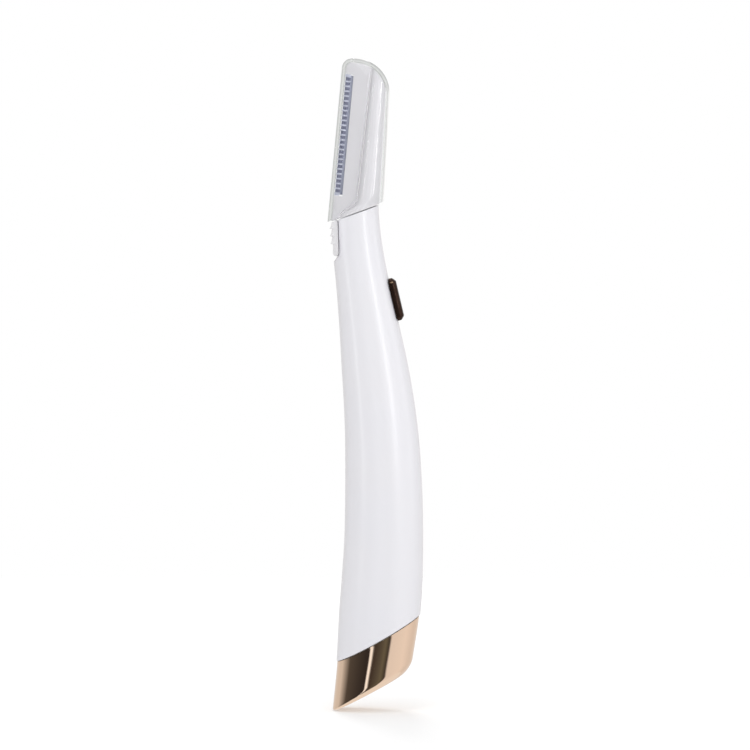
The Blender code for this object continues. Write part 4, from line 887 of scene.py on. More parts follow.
def grip_tail():
    """Sections (height, slope, inset, ledge depth) of the tail, its back flat against the notch."""
    levels = [(TAIL_FOOT + TAIL_ROUND * (1 - math.cos(turn)), 0.0, TAIL_ROUND * (1 - math.sin(turn)), 0.0)
              for turn in np.linspace(TAIL_FIRST_TURN, math.pi / 2, 5)]
    levels += [(LEDGE_FOOT + ledge * LEDGE_PITCH + over, LEDGE_SLOPE, 0.0, LEDGE_DEPTH * share)
               for ledge in range(LEDGE_COUNT) for over, share in LEDGE_STEPS]
    sections = []
    for height, slope, inset, depth in [*levels, (NECK_HEIGHT, NECK_SLOPE, 0.0, 0.0)]:
        section = body_section(height, slope, inset=inset)
        face = notch_face(height + slope * NOTCH_FACE) - GAP
        front = section[:, 0].min()
        section[:, 0] = np.minimum(section[:, 0], face)
        section[:, 0] -= depth * (face - section[:, 0]) / (face - front)
        section[:, 1] *= 1 - LEDGE_NARROWS * depth / LEDGE_DEPTH
        bulge = TAIL_BULGE * (1 - (section[:, 1] / section[:, 1].max()) ** 2)
        section[:, 0] += np.where(section[:, 0] > face - 1e-7, bulge, 0.0)
        lift = 0.0 if slope == NECK_SLOPE or not slope else -slope * front
        section[:, 2] = height + lift + slope * section[:, 0]
        sections.append(section)
    return loft("tail", sections)


def head_shape():
    """Spine, plate, plug and tail joined, then notched for the guard and slotted for the blade."""
    body = spine("head_body_skin", 0.0)
    carve(body, slab("plate", PLATE_HALF, PLATE_ROUND, inset=HEAD_INSET, back_extra=GAP), "UNION")
    carve(body, below_seat(GAP))
    plug_foot = seat_height(NOTCH_FACE + WALL) - NOTCH_FOOT - PLUG_LENGTH
    plug = block((0.0, PLUG_WIDTH), PLUG_WIDTH, (plug_foot, PLUG_TOP_Z), *SOCKET)
    carve(plug, below_seat(3 * GAP), "INTERSECT")
    change(plug, "BEVEL", width=PLUG_ROUND, segments=2, limit_method="ANGLE", angle_limit=math.radians(35.0))
    carve(body, plug, "UNION")
    carve(body, grip_tail(), "UNION")
    face, top = notch_face(NECK_HEIGHT), BLADE_FOOT - 4 * GAP
    core_x, core_z = (side_line_x(0, top, HEAD_INSET) + GAP, face - GAP), (seat_height(face) - 5 * GAP, top)
    carve(body, block(core_x, PLATE_HALF - GAP / 2, core_z), "UNION")
    reach = GUARD_THICKNESS
    notch_x, notch_z = (-reach, GUARD_WIDTH + NOTCH_MARGIN), (-NOTCH_MARGIN, GUARD_LENGTH + NOTCH_MARGIN)
    carve(body, block(notch_x, reach, notch_z, *BLADE))
    half = BLADE_THICKNESS / 2 + GAP * 2 / 3
    return carve(body, block((-reach, BLADE_BACK + GAP), half, (-GAP, GUARD_LENGTH + GAP), *BLADE))


settle(head_shape(), frost, "head", "head_body", 32.0)

# %% [markdown]
# ## Blade and comb guard
#
# The blade is a steel strip ground thin at its front. Over its edge sits a folded steel guard, a channel with a
# row of slots whose teeth keep the edge a hair away from the skin. Both are steel. The guard is a little blue, and
# a painted highlight makes its teeth lighter than the strip behind the slots; the blade is painted dark as shade.

# %% Steel
# Guard tones: the teeth's lighter tone is a painted highlight, the strip's darker tone lies behind the slots
TEETH_HIGHLIGHT_TONE, STRIP_TONE = (0.47, 0.49, 0.565), (0.24, 0.255, 0.31)
SLOT_LENGTH, SLOT_FADE = 0.00145, 0.0001


def guard_painted_highlight(group, vector, tone):
    """Color = Tone x the teeth's painted highlight tone up to the slots' ends, then the strip's; the guard's lean
    is taken off.
    """
    place = axes(group, vector)
    lean = math_step(group, "MULTIPLY", math_step(group, "SUBTRACT", place["Z"], BLADE_ORIGIN[2]), BLADE_LEAN)
    behind = math_step(group, "SUBTRACT", math_step(group, "SUBTRACT", place["X"], BLADE_ORIGIN[0]), lean)
    share = ramp_between(group, behind, SLOT_LENGTH - SLOT_FADE, SLOT_LENGTH + SLOT_FADE, 0.0, 1.0)
    both = mixed(group, share, TEETH_HIGHLIGHT_TONE, STRIP_TONE)
    return add_node(group, "VectorMath", both, tone, operation="MULTIPLY").outputs[0]


GUARD_PAINTED_HIGHLIGHT = node_group("guard_painted_highlight", guard_painted_highlight, Tone=COLOUR)
steel = dress("guard_steel_brushed", ((0.92, 0.92, 0.95), (1.0, 1.0, 1.0)), 900.0, (2600.0, 0.30, 0.16),
              (9000.0, 0.6, 0.2, 8e-6), (1.0, 1.0, 0.12), GUARD_PAINTED_HIGHLIGHT, Base_Color=TEETH_HIGHLIGHT_TONE, Metallic=0.85)
# The blade's dark colour is painted shade, for the shade in the guard's slots in front of it
blade_steel = dress("blade_steel_ground", ((0.15, 0.16, 0.23), (0.20, 0.21, 0.28)), 1400.0, (3000.0, 0.28, 0.14),
                    (9000.0, 0.5, 0.2, 6e-6), (1.0, 1.0, 0.05), Base_Color=(0.17, 0.18, 0.25), Metallic=1.0)

# %% Guard and blade
SLOT_COUNT, SLOT_SHARE, GUARD_END = 24, 0.66, 0.0006
GUARD_WEB = 0.00012  # the fold's thickness in front of the blade's edge
FOLD_OUTSIDE, FOLD_INSIDE = 0.00022, 0.00008
EDGE_CLEARANCE, BEVEL_LENGTH = 0.00004, 0.0008
# Each of the guard's two cut corners, as the start and the end of the cut (distance from the front, height)
GUARD_CUTS = (
    ((0.00115, 0.0), (GUARD_WIDTH, 0.0011)),
    ((GUARD_WIDTH, GUARD_LENGTH - 0.0007), (0.0013, GUARD_LENGTH)),
)
CUT_BLOCK = ((0.0, 0.003), GUARD_THICKNESS, (-0.002, 0.004))


def guard_section(z):
    """The channel's section at z: an outer U with rounded folds, followed back along the inner U."""
    half, inner = GUARD_THICKNESS / 2, GUARD_THICKNESS / 2 - GUARD_LEG
    turns = np.linspace(0, math.pi / 2, 5)
    away, along = 1 - np.sin(turns), 1 - np.cos(turns)
    outer_x, outer_y = FOLD_OUTSIDE * away, half - FOLD_OUTSIDE * along
    inner_x, inner_y = GUARD_WEB + FOLD_INSIDE * away, inner - FOLD_INSIDE * along
    end = (GUARD_WIDTH,)
    x = np.concatenate((end, outer_x, outer_x[::-1], end, end, inner_x, inner_x[::-1], end))
    y = np.concatenate(((half,), outer_y, -outer_y[::-1], (-half, -inner), -inner_y, inner_y[::-1], (inner,)))
    return ring(x, y, z)


def guard_shape():
    """The channel as a loft without fans, its ends closed by quads between the outer and the inner U."""
    sections = leaning([guard_section(z) for z in (0.0, GUARD_LENGTH)], *BLADE)
    count = sections.shape[1]
    first = np.arange(count)
    after = (first + 1) % count
    walls = np.column_stack((first, after, after + count, first + count))
    k = np.arange(count // 2 - 1)
    lower = np.column_stack((k, count - 1 - k, count - 2 - k, k + 1))
    quads = np.vstack((walls, lower, lower[:, ::-1] + count))
    guard = mesh_from_faces("blade_guard_skin", sections.reshape(-1, 3), quads)
    pitch = (GUARD_LENGTH - 2 * GUARD_END) / SLOT_COUNT
    reach = pitch * SLOT_SHARE / 2
    for middle in np.linspace(GUARD_END + pitch / 2, GUARD_LENGTH - GUARD_END - pitch / 2, SLOT_COUNT):
        x_span, z_span = (-GUARD_THICKNESS / 2, SLOT_LENGTH), (middle - reach, middle + reach)
        carve(guard, block(x_span, GUARD_THICKNESS, z_span, *BLADE))
    for (x, z), end in GUARD_CUTS:
        origin = leaning((x, 0.0, z), *BLADE)
        lean = math.tan(math.atan2(end[0] - x, end[1] - z) + math.atan(BLADE_LEAN))
        carve(guard, block(*CUT_BLOCK, origin, lean))
    return guard


def blade_shape():
    """The strip's section (thin edge, ground bevel, flat body) carried along its length."""
    half, edge = BLADE_THICKNESS / 2, BLADE_THICKNESS / 20
    front = GUARD_WEB + EDGE_CLEARANCE
    shoulder = front + BEVEL_LENGTH
    x, y = (front, front, shoulder, BLADE_BACK, BLADE_BACK, shoulder), (edge, -edge, -half, -half, half, half)
    ends = [ring(x, y, z) for z in np.linspace(GAP, GUARD_LENGTH - GAP, 9)]
    return loft("blade_skin", leaning(ends, *BLADE))


settle(guard_shape(), steel, "head", "blade_guard", 35.0)
settle(blade_shape(), blade_steel, "head", "blade", 20.0)

# %% [markdown]
# ## Clear safety cap
#
# The cap is a clear moulding, thin over the plate and thick over the spine. Plastic like this shows itself mostly
# at its edges, where light travels a long way inside it; here that is painted shade. Every face corner of the cap
# therefore stores how far it lies from the outline in the side view, and the finish is painted grey where that is
# less than the wall.

# %% Clear plastic
# Depth as a share of two millimetres, and the tint there: painted grey shade near the outline, the plastic's own
# faint tint further in
EDGE_SHADE_TINTS = (
    (0.00, (0.42, 0.43, 0.42)),
    (0.10, (0.58, 0.59, 0.58)),
    (0.20, (0.68, 0.69, 0.68)),
    (0.46, (0.71, 0.72, 0.71)),
    (0.54, (0.93, 0.93, 0.94)),
    (1.00, (0.955, 0.955, 0.965)),
)
FULL_DEPTH, SIDEWAYS_GAIN = 0.002, 9
CAP_FINENESS = {"each": 10, "count": 240}
CAP_RINGS = (0.0006, CAP_WALL, 0.00095, 0.00115, 0.0018)  # insets of the rings on the cap's flat sides
CAP_DROP, HOLLOW_DROP, HOLLOW_ROUND = 0.0096, 0.0144, 0.0002  # how far the lofts go on below, before the cut
clear = dress("clear_cap_plastic", ((0.95, 0.955, 0.95),), None, (260.0, 0.03, 0.03), (1800.0, 0.0, 0.8, 10e-6),
              Transmission_Weight=1.0, IOR=1.05, Coat_Weight=0.5, Coat_Roughness=0.03)
# The base colour carries the painted edge shade, read from the stored depth
depth_read = add_node(clear.node_tree, "Attribute", attribute_name="edge_depth").outputs["Fac"]
shade(clear, Base_Color=colour_ramp(clear.node_tree, depth_read, EDGE_SHADE_TINTS)["Color"])


def outline_depth(points):
    """Distance of each point, seen from the side, to the nearest segment of the cap's outline."""
    outline = cap_outline(0.0)
    start, step = outline[:-1], np.diff(outline, axis=0)
    flat = points[:, None, [0, 2]] - start
    share = np.clip((flat * step).sum(-1) / (step**2).sum(-1), 0, 1)
    return np.linalg.norm(flat - share[..., None] * step, axis=-1).min(1)


def cap_shape():
    """Outer spine and outer slab joined, hollowed by the same shapes drawn in, and cut along the seam."""
    body = spine("safety_cap_skin", HEAD_INSET, CAP_DROP, **CAP_FINENESS)
    carve(body, slab("cap_front", PLATE_HALF + HEAD_INSET, CAP_WALL / 2, CAP_RINGS, back_extra=GAP), "UNION")
    carve(body, slab("cap_front_hollow", PLATE_HALF + CAP_GAP, HOLLOW_ROUND, inset=CAP_WALL, back_extra=GAP))
    carve(body, spine("cap_back_hollow", CAP_GAP, HOLLOW_DROP, HOLLOW_ROUNDNESS, **CAP_FINENESS))
    return carve(body, below_seat(GAP + CAP_GAP))


def read_all(items, name, width=1, kind=float):
    """One property of all items of a mesh as an array."""
    values = np.empty(len(items) * width, kind)
    items.foreach_get(name, values)
    return values.reshape(-1, width) if width > 1 else values


def store_edge_depth(mesh):
    """Depth at each face corner, as a share of the full depth; faces that don't look sideways count as deep."""
    shallow = 1 - np.clip(outline_depth(read_all(mesh.vertices, "co", 3)) / FULL_DEPTH, 0, 1)
    sideways = np.clip(SIDEWAYS_GAIN * read_all(mesh.polygons, "normal", 3)[:, 1] ** 2, 0, 1)
    corners = read_all(mesh.loops, "vertex_index", kind=np.int32)
    sideways = np.repeat(sideways, read_all(mesh.polygons, "loop_total", kind=np.int32))
    depth = mesh.attributes.new("edge_depth", "FLOAT", "CORNER")
    depth.data.foreach_set("value", 1 - shallow[corners] * sideways)


cap_skin = cap_shape()
store_edge_depth(cap_skin.data)
settle(cap_skin, clear, "safety_cap", "safety_cap", 20.0)
cap_skin.visible_shadow = cap_skin.visible_diffuse = False

# %% [markdown]
# ## Slide button
#
# The switch's button is a narrow bar that follows the slope of the handle's back. It is plated in a dark bronze,
# so it reads almost black where nothing bright is mirrored. Over the ridge where the upper end begins to fall
# away, a small painted glint of lighter metal stands in for a highlight. The bar is a loft of boxy
# superellipses whose crown falls and whose sides draw in towards both ends.

# %% Bronze plating
# The painted glint's tone, and where it lies
PAINTED_GLINT_TONE = (0.78, 0.55, 0.36)
GLINT_HALF, GLINT_OUT, GLINT_OUT_HALF = 0.00026, 0.00055, 0.00050  # along the bar, and away from the handle
BUTTON_LENGTH, BUTTON_HALF, BUTTON_PROUD, BUTTON_WRAP, BUTTON_END = 0.0111, 0.0027, 0.0018, 0.0002, 0.0010
SWITCH_TURN = math.atan(SWITCH_LEAN)
SWITCH_UP = (math.sin(SWITCH_TURN), 0.0, math.cos(SWITCH_TURN))
SWITCH_OUT = (math.cos(SWITCH_TURN), 0.0, -math.sin(SWITCH_TURN))


def along_axis(group, vector, axis):
    """Distance of a point from the switch's origin, measured along an axis."""
    rest = add_node(group, "VectorMath", vector, SWITCH_ORIGIN, operation="SUBTRACT").outputs[0]
    return add_node(group, "VectorMath", rest, axis, operation="DOT_PRODUCT").outputs["Value"]


def band(group, value, middle, half):
    """One at the middle value, falling evenly to nought at half a width from it."""
    off = math_step(group, "ABSOLUTE", math_step(group, "SUBTRACT", value, middle))
    return ramp_between(group, off, 0.0, half, 1.0, 0.0)


def ridge_painted_glint(group, vector, tone):
    """Color = Tone, with a painted glint of lighter metal where a band along the bar and a band away from the
    handle cross.
    """
    across = band(group, along_axis(group, vector, SWITCH_UP), BUTTON_LENGTH / 2 - BUTTON_END, GLINT_HALF)
    near = band(group, along_axis(group, vector, SWITCH_OUT), GLINT_OUT, GLINT_OUT_HALF)
    return mixed(group, math_step(group, "MULTIPLY", across, near), tone, PAINTED_GLINT_TONE)


RIDGE_PAINTED_GLINT = node_group("ridge_painted_glint", ridge_painted_glint, Tone=COLOUR)
bronze = dress("bronze_plating", ((0.030, 0.018, 0.014), (0.044, 0.027, 0.021)), 900.0, (1500.0, 0.34, 0.14),
               (7000.0, 0.6, 0.4, 10e-6), pattern=RIDGE_PAINTED_GLINT, Metallic=1.0)

# %% Slide button
# Span in x and half width of the stem, the flange and the boss under the bar, which share a span in z
BUTTON_STEPS = (((-0.0039, 0.0009), 0.0009), ((-0.0027, -0.0021), 0.0022), ((-0.0039, -0.0024), 0.0015))
BUTTON_STEP_Z = (-0.0015, 0.0015)
BUTTON_POCKET = ((-0.0078, -0.00285), 0.0009, (-0.0010, 0.0010))
BUTTON_ROOT, BUTTON_ROUNDNESS = -0.0022, 4.5
CROWN_FALL, SIDE_FALL, FALL_POWER = 0.00085, 0.0005, 1.2  # at the very end of the bar, and how it builds up


def button_bar():
    """Boxy sections along the slope; over each end the crown falls and the sides draw in along a soft chamfer."""
    ends = np.linspace(BUTTON_LENGTH / 2 - BUTTON_END, BUTTON_LENGTH / 2, 16)
    along = np.concatenate((-ends[::-1], np.linspace(-ends[0], ends[0], 24)[1:-1], ends))
    fall = np.clip((np.abs(along) - ends[0]) / BUTTON_END, 0, 1) ** FALL_POWER
    sections = []
    for place, share in zip(along, fall):
        crown, half = BUTTON_PROUD - CROWN_FALL * share, BUTTON_HALF - SIDE_FALL * share
        x, y, _ = superellipse(BUTTON_ROOT, crown, half, 0, round_angles(72), BUTTON_ROUNDNESS)
        sections.append(ring(np.maximum(x, -BUTTON_WRAP), y, place))
    return loft("slide_button_skin", leaning(sections, *SWITCH))


def button_shape():
    """The bar, hollowed to ride on the handle, with its stem, flange, boss and the pocket for the lever."""
    bar = button_bar()
    levels = np.linspace(SWITCH_HEIGHT - BUTTON_LENGTH, SWITCH_HEIGHT + BUTTON_LENGTH, 25)
    carve(bar, loft("under", [body_section(height, 0, inset=-GAP) for height in levels]))
    for x_span, half in BUTTON_STEPS:
        carve(bar, block(x_span, half, BUTTON_STEP_Z, *SWITCH), "UNION")
    return carve(bar, block(*BUTTON_POCKET, *SWITCH))


settle(button_shape(), bronze, "button", "slide_button", 34.0)

# %% [markdown]
# ## Battery bay
#
# Pulling the end cap off shows the foot of a AAA cell, and inside the cap a conical spring on a round contact
# plate. The cell is a surface of revolution: a short list of radii and heights turned about its axis, with small
# rounds where the can is crimped. A thin printed jacket covers the can and leaves bare steel at both ends. The
# spring is a circle carried along a narrowing helix. The plug, which centres the end cap in the handle, is a loft
# through the same sections as the handle, drawn in, with the cell's bore taken out.

# %% Helpers for turned and swept pieces
CELL_X, CELL_RADIUS, CELL_FOOT, CELL_LENGTH = 0.00173, 0.00525, 0.0186, 0.0437
CELL_TOP = CELL_FOOT + CELL_LENGTH
AXIS = 0.00005  # radius at which a turned piece ends near its axis


def turned(name, profile, x, steps=6, count=72):
    """A profile of (radius, height, round) turned about a vertical axis; a round is a circular fillet's radius."""
    corners = np.array(profile, float)
    outline = [corners[0, :2]]
    for before, (*point, radius), after in zip(corners[:, :2], corners[1:], corners[2:, :2]):
        start, end = (point + (other - point) / math.dist(other, point) * radius for other in (before, after))
        share = np.linspace(0, 1, steps if radius else 1)[:, None]
        outline.extend((1 - share) ** 2 * start + 2 * share * (1 - share) * np.array(point) + share**2 * end)
    outline.append(corners[-1, :2])
    turns = round_angles(count)
    rings = [ring(x + radius * np.cos(turns), radius * np.sin(turns), height) for radius, height in outline]
    return loft(name, rings)


def swept(name, path, radius, side, count=20):
    """A tube: at each point of the path a circle square to it, its first axis square to the path and to a side."""
    tangent = np.gradient(path, axis=0)
    tangent /= np.linalg.norm(tangent, axis=1)[:, None]
    first = np.cross(tangent, side)
    first /= np.linalg.norm(first, axis=1)[:, None]
    second = np.cross(tangent, first)
    turns = round_angles(count)[:, None]
    return loft(name, path[:, None] + radius * (first[:, None] * np.cos(turns) + second[:, None] * np.sin(turns)))


# %% Cell
STEEL_TONE = (0.60, 0.60, 0.59)
# Height at which a band begins, its tone and how metallic it is
CELL_BANDS = (
    (CELL_FOOT - 0.001, STEEL_TONE, 1.0),
    (CELL_FOOT + 0.0006, (0.44, 0.46, 0.50), 0.6),
    (CELL_TOP - 0.0062, (0.10, 0.13, 0.17), 0.3),
    (CELL_TOP - 0.0007, STEEL_TONE, 1.0),
)
CELL_PROFILE = (
    (AXIS, CELL_FOOT, 0),
    (0.0031, CELL_FOOT, 0.0002),
    (0.0033, CELL_FOOT + 0.00025, 0.0001),
    (0.0047, CELL_FOOT + 0.00025, 0.0001),
    (CELL_RADIUS, CELL_FOOT + 0.0005, 0.0003),
    (CELL_RADIUS, CELL_TOP - 0.0004, 0.0003),
    (0.0046, CELL_TOP, 0.0002),
    (0.0019, CELL_TOP, 0.0001),
    (0.0019, CELL_TOP + 0.0008, 0.00025),
    (AXIS, CELL_TOP + 0.0008, 0),
)


def cell_bands(group, vector):
    """Color and Metal of the band that holds the height; bands have sharp edges."""
    low, high = CELL_BANDS[0][0], CELL_BANDS[-1][0] + 0.001
    stops = [((height - low) / (high - low), (*tone, metal)) for height, tone, metal in CELL_BANDS]
    share = ramp_between(group, axes(group, vector)["Z"], low, high, 0.0, 1.0)
    return tuple(colour_ramp(group, share, stops, "CONSTANT"))


jacket = dress("cell_jacket_print", (CELL_BANDS[1][1],), None, (420.0, 0.28, 0.16), (3000.0, 0.3, 0.5, 8e-6),
               Roughness=0.30, Coat_Weight=0.3, Coat_Roughness=0.12)
bands = node_group("cell_bands", cell_bands, {"Color": COLOUR, "Metal": FLOAT})
tone, metal = place_group(jacket.node_tree, bands, object_space(jacket.node_tree)).outputs
shade(jacket, Base_Color=tone, Metallic=metal)
settle(turned("battery_skin", CELL_PROFILE, CELL_X), jacket, "handle", "battery", 35.0)

# %% Spring and contacts
nickel = dress("nickel_plate", ((0.66, 0.645, 0.60), (0.58, 0.565, 0.52)), 300.0, (900.0, 0.24, 0.14),
               (5200.0, 0.4, 0.4, 6e-6), Metallic=1.0)
SPRING_TURNS, SPRING_WIRE, SPRING_Z, SPRING_RADII = 4, 0.00025, (0.01425, 0.01805), (0.0036, 0.0024)


def helix():
    """Points with radius and height in proportion to the turns made, from wide and low to narrow and high."""
    share = np.linspace(0, 1, SPRING_TURNS * 64 + 1)
    radius, height = (start + (end - start) * share for start, end in (SPRING_RADII, SPRING_Z))
    angle = 2 * math.pi * SPRING_TURNS * share
    return ring(CELL_X + radius * np.cos(angle), radius * np.sin(angle), height)


coil = swept("battery_spring_skin", helix(), SPRING_WIRE, (0.0, 0.0, 1.0), 14)
settle(coil, nickel, "end_cap", "battery_spring", 40.0)


def refinish(finish, *nodes):
    """Gives the named solids, whose shape stays, a finish in place of each of their materials."""
    for name in nodes:
        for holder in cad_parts[name].material_slots:
            holder.material = finish
        print(f"{name}: {finish.name}")


refinish(nickel, "cap_contact_plate", "positive_contact", "negative_strip")

# %% Plug
inner_white = dress("inner_moulding", ((0.60, 0.61, 0.62), (0.67, 0.67, 0.67)), 150.0, (320.0, 0.42, 0.12),
                    (4200.0, 0.7, 0.5, 18e-6), Base_Color=(0.62, 0.63, 0.64))
PLUG_FOOT, PLUG_TOP, PLUG_INSET = FOOT_HEIGHT + 0.0026, SEAM_HEIGHT + 0.005, 0.00155
EASE_FROM, EASE_INSET = 0.96, 0.0004
BORE_FLOOR, BORE_TOP, BORE_LEAN, ARM_FRONT, ARM_HALF = 0.0130, 0.015, 0.045, -0.00622, 0.0021
ARM_CUTS = ((-0.00422, 0.0386), (CELL_X, 0.0143))  # back and top of the arm's slot and of its channel


def plug_shape():
    """Drawn-in handle sections from above the foot to 5 mm over the seam, less the cell, the spring and the arm."""
    sections = []
    for share in np.concatenate((np.linspace(0, EASE_FROM, 18), (0.985, 1.0))):
        ease = EASE_INSET * max(0.0, (share - EASE_FROM) / (1 - EASE_FROM)) ** 2
        slope = FOOT_SLOPE + (SEAM_SLOPE - FOOT_SLOPE) * share
        sections.append(body_section(PLUG_FOOT + (PLUG_TOP - PLUG_FOOT) * share, slope, inset=PLUG_INSET + ease))
    body = loft("end_cap_plug_skin", sections)
    carve(body, rod(CELL_RADIUS + GAP, (BORE_FLOOR, CELL_FOOT), (CELL_X, 0.0, 0.0), count=72))
    bore_z = (CELL_FOOT - GAP - PLUG_TOP, BORE_TOP)
    carve(body, rod(CELL_RADIUS + 2 * GAP, bore_z, (CELL_X, 0.0, PLUG_TOP), BORE_LEAN, 72))
    for back_x, top_z in ARM_CUTS:
        carve(body, block((ARM_FRONT, back_x), ARM_HALF, (BORE_FLOOR, top_z)))
    return body


settle(plug_shape(), inner_white, "end_cap", "end_cap_plug", 32.0)

# %% [markdown]
# ## Inside the handle
#
# None of this shows from outside, but it is what makes the tool work: a white inner frame with the tube for the
# cell and the tray for the board, the board with its switch, resistor and two screws, two leads up from the
# battery, and a small lamp under a clear window in the neck. The flat mouldings keep the shapes they have in the
# solid model and get finishes. The round things are made new, because their curves would show as flats.

# %% Carrier, board and switch
matt_black = dress("matt_black_plastic", ((0.028, 0.028, 0.031), (0.042, 0.042, 0.045)), 220.0, (500.0, 0.46, 0.14),
                   (4200.0, 0.8, 0.4, 2e-5), Base_Color=(0.030, 0.030, 0.033))
MASK_TONE, TRACK_TONE = (0.020, 0.135, 0.060), (0.055, 0.225, 0.095)


def copper_tracks(group, vector, mask, track):
    """Color = solder mask, lighter where thin rows of a brick pattern run under it as copper tracks."""
    tracks = add_node(group, "TexBrick", Vector=vector, Scale=1.0, Mortar_Size=0.00012, Mortar_Smooth=0.2,
                      Brick_Width=0.0031, Row_Height=0.00085).outputs["Fac"]
    return mixed(group, tracks, mask, track), tracks


mask_green = dress("solder_mask", (MASK_TONE,), None, (700.0, 0.28, 0.12), None,
                   Coat_Weight=0.4, Coat_Roughness=0.15)
tree = mask_green.node_tree
tracks = node_group("copper_tracks", copper_tracks, {"Color": COLOUR, "Height": FLOAT}, Mask=COLOUR, Track=COLOUR)
flat_on = object_space(tree, Rotation=(math.pi / 2, 0.0, 0.0))
tone, height = place_group(tree, tracks, flat_on, Mask=MASK_TONE, Track=TRACK_TONE).outputs
shade(mask_green, Base_Color=tone, Normal=bumped(tree, height, 3e-5))
refinish(inner_white, "battery_carrier", "switch_lever")
refinish(mask_green, "circuit_board")
refinish(matt_black, "switch_housing")

# %% Screws
SEAT = -0.0068 + GAP  # where the screws and the resistor rest on the board
SHANK_LENGTH, SHANK_RADIUS, TIP_LENGTH, THREAD_DEPTH, THREAD_PITCH = 0.0023, 0.00052, 0.0005, 0.00008, 0.00042
HEAD_HEIGHT, HEAD_RADIUS, CROWN_HEIGHT = 0.0007, 0.0012, 0.0003
CROSS_DEPTH, CROSS_HALF, CROSS_REACH = 0.00035, 0.00014, 0.0007


def switch_rings(name, radii, places, middle, along_x, count):
    """Circles of the given radii along X or Z of the switch's frame, joined into a body."""
    turns = round_angles(count)
    rings = []
    for radius, place in zip(radii, places):
        across, up = radius * np.cos(turns), radius * np.sin(turns)
        rings.append(ring(place, across, middle + up) if along_x else ring(middle + across, up, place))
    return loft(name, leaning(rings, *SWITCH))


def screw_shape(name, along):
    """A pan head on a threaded shank: the shank's radius goes up and down as a cosine of the depth."""
    head = SEAT + HEAD_HEIGHT
    depth = np.linspace(SEAT - SHANK_LENGTH, SEAT, 90)
    thread = SHANK_RADIUS + THREAD_DEPTH * np.cos(2 * math.pi * depth / THREAD_PITCH)
    tip = np.clip((depth - depth[0]) / TIP_LENGTH, 0.15, 1)
    crown = np.linspace(0, math.pi / 2, 7)[:-1]
    rim = HEAD_RADIUS * (0.75 + 0.25 * np.cos(crown))
    radii = np.concatenate((thread * tip, (HEAD_RADIUS - 0.00005, HEAD_RADIUS), rim))
    places = np.concatenate((depth, (SEAT, SEAT + 0.0002), head + CROWN_HEIGHT * (np.sin(crown) - 1)))
    body = switch_rings(name, radii, places, along, True, 32)
    for wide, tall in ((CROSS_HALF, CROSS_REACH), (CROSS_REACH, CROSS_HALF)):
        carve(body, block((head - CROSS_DEPTH, head + 0.0002), wide, (along - tall, along + tall), *SWITCH))
    return body


for name, along in (("board_screw_lower", -0.0119), ("board_screw_upper", 0.0074)):
    settle(screw_shape(name + "_skin", along), nickel, "handle", name, 30.0)

# %% Resistor
RESISTOR_FOOT, RESISTOR_LENGTH, RESISTOR_RADIUS = -0.0091, 0.0032, 0.0008
WAIST_DEPTH, WAIST_WIDTH, END_SHARE, END_RADIUS = 0.10, 0.26, 0.12, 0.12  # shares of the radius and the length
BODY_TONE, RING_WIDTH = (0.50, 0.36, 0.21), 0.09
# Where each coloured ring begins, as a share of the length, and its tone
RING_TONES = (
    (0.16, (0.30, 0.05, 0.02)),
    (0.34, (0.02, 0.02, 0.02)),
    (0.52, (0.14, 0.06, 0.02)),
    (0.74, (0.48, 0.33, 0.08)),
)


def ring_bands(group, vector):
    """Color = the body's tan, with four narrow coloured rings at set places along the resistor."""
    along = along_axis(group, vector, SWITCH_UP)
    share = ramp_between(group, along, RESISTOR_FOOT, RESISTOR_FOOT + RESISTOR_LENGTH, 0.0, 1.0)
    stops = [(0.0, BODY_TONE)]
    for start, tone in RING_TONES:
        stops += [(start, tone), (start + RING_WIDTH, BODY_TONE)]
    return colour_ramp(group, share, stops, "CONSTANT")["Color"]


lacquer = dress("resistor_lacquer", (BODY_TONE,), None, (900.0, 0.22, 0.10), (3000.0, 0.3, 0.7, 1e-5),
                Coat_Weight=0.5, Coat_Roughness=0.1)
tree = lacquer.node_tree
rings = node_group("ring_bands", ring_bands)
shade(lacquer, Base_Color=place_group(tree, rings, object_space(tree)).outputs[0])


def resistor_shape():
    """A dumbbell: the radius dips by a tenth between two fuller ends, which are rounded by a quarter circle."""
    share = (1 - np.cos(np.linspace(0, math.pi, 48))) / 2
    end = np.clip(1 - np.minimum(share, 1 - share) / END_SHARE, 0, 1)
    waist = 1 - WAIST_DEPTH * np.exp(-(((share - 0.5) / WAIST_WIDTH) ** 4))
    radii = RESISTOR_RADIUS * waist * np.maximum(np.sqrt(1 - end**2), END_RADIUS)
    places = RESISTOR_FOOT + RESISTOR_LENGTH * share
    return switch_rings("resistor_skin", radii, places, SEAT + RESISTOR_RADIUS, False, 36)


settle(resistor_shape(), lacquer, "handle", "resistor", 40.0)

# %% Leads
LEAD_RADIUS, LEAD_OUT, FOOT_RISE, HEAD_DROP = 0.0005, 0.0012, 0.00036, 0.00005
# Share of the way up, of the way out and of the way towards the board, at each point of a lead
LEAD_SHARES = np.array(((0, 0, 0), (0.05, 0.5, 0.1), (0.14, 1, 0.35), (0.45, 1, 0.6), (0.78, 1, 0.9), (1, 1, 1)))
# Node, side of the middle plane, its two tones and its slot
LEADS = (
    ("lead_positive", 1, "red_insulation", ((0.46, 0.018, 0.016), (0.52, 0.028, 0.020)), "red_lead"),
    ("lead_negative", -1, "black_insulation", ((0.022, 0.022, 0.024), (0.034, 0.034, 0.036)), "black_lead"),
)


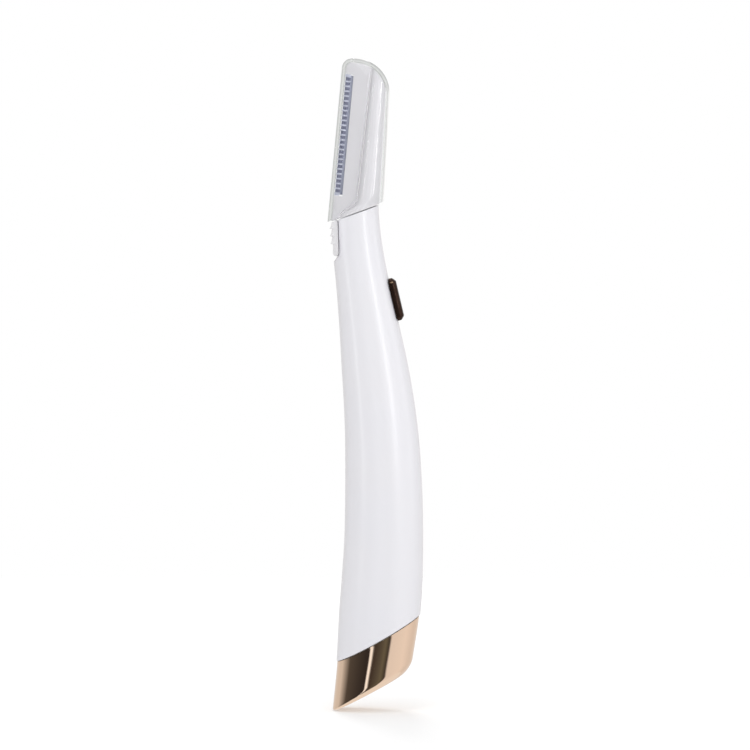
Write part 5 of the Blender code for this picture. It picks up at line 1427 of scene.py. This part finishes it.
def lead_shape(node, side):
    """A tube from its contact to the board's lower end; its ends are read from the box of its solid."""
    low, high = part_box(node)
    foot_x = float(high[0] - LEAD_RADIUS) if side > 0 else float(low[0] + LEAD_RADIUS)
    head_x = high[0] - LEAD_RADIUS if foot_x < 0 else low[0] + LEAD_RADIUS
    foot_z, head_z = low[2] + FOOT_RISE, high[2] - HEAD_DROP
    up, out, across = LEAD_SHARES.T
    reach = side * (LEAD_OUT + LEAD_RADIUS + 2 * GAP)
    path = smooth_table(ring(foot_x + (head_x - foot_x) * across, reach * out, foot_z + (head_z - foot_z) * up), 12)
    print(node, "starts", path[0].round(5), "ends", path[-1].round(5))
    return swept(node + "_skin", path, LEAD_RADIUS, (1.0, 0.0, 0.0))


for node, side, name, tones, slot in LEADS:
    insulation = dress(name, tones, 400.0, (800.0, 0.44, 0.12), (5200.0, 0.6, 0.5, 1e-5))
    settle(lead_shape(node, side), insulation, "handle", node, 40.0)

# %% Lamp and window
lens_plastic = dress("clear_lens_plastic", ((0.95, 0.955, 0.95), (0.92, 0.93, 0.93)), 300.0, (500.0, 0.05, 0.04),
                     (2400.0, 0.1, 0.6, 4e-6), Base_Color=(0.93, 0.94, 0.94), Transmission_Weight=1.0, IOR=1.49)
LAMP_FOOT, LAMP_RADIUS, LAMP_LENGTH, LEG_RADIUS, LEG_SIDE = 0.1215, 0.0015, 0.0048, 0.00025, 0.000635
LAMP_TOP = LAMP_FOOT + LAMP_LENGTH
LAMP_PROFILE = (
    (AXIS, LAMP_FOOT, 0),
    (0.00146, LAMP_FOOT, 0.00005),
    (LAMP_RADIUS, LAMP_FOOT + 0.0004, 0.00005),
    (LAMP_RADIUS, LAMP_TOP, 0.00149),
    (0.00002, LAMP_TOP, 0),
)


def lamp_shape():
    """A dome on a short barrel with its two legs, which lean back to the board's upper end."""
    low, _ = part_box("led")
    body = turned("led_skin", LAMP_PROFILE, LAMP_X, 12, 48)
    drop = LAMP_FOOT - float(low[2])
    lean = (LAMP_X - float(low[0]) - LEG_RADIUS) / drop
    foot = LEG_RADIUS - math.hypot(drop, lean * drop)
    for side in (-1, 1):
        origin = (LAMP_X, side * LEG_SIDE, LAMP_FOOT)
        carve(body, rod(LEG_RADIUS, (foot, LAMP_RADIUS / 2), origin, lean, 20), "UNION")
    return body


settle(lamp_shape(), lens_plastic, "handle", "led", 40.0)
(_, _, window_foot), (_, _, window_top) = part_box("led_lens")
WINDOW = (
    (AXIS, window_foot, 0),
    (LENS_RADIUS, window_foot, 0.0001),
    (LENS_RADIUS, window_top, 0.0002),
    (AXIS, window_top, 0),
)
settle(turned("led_lens_skin", WINDOW, LAMP_X, 8, 64), lens_plastic, "handle", "led_lens", 40.0)
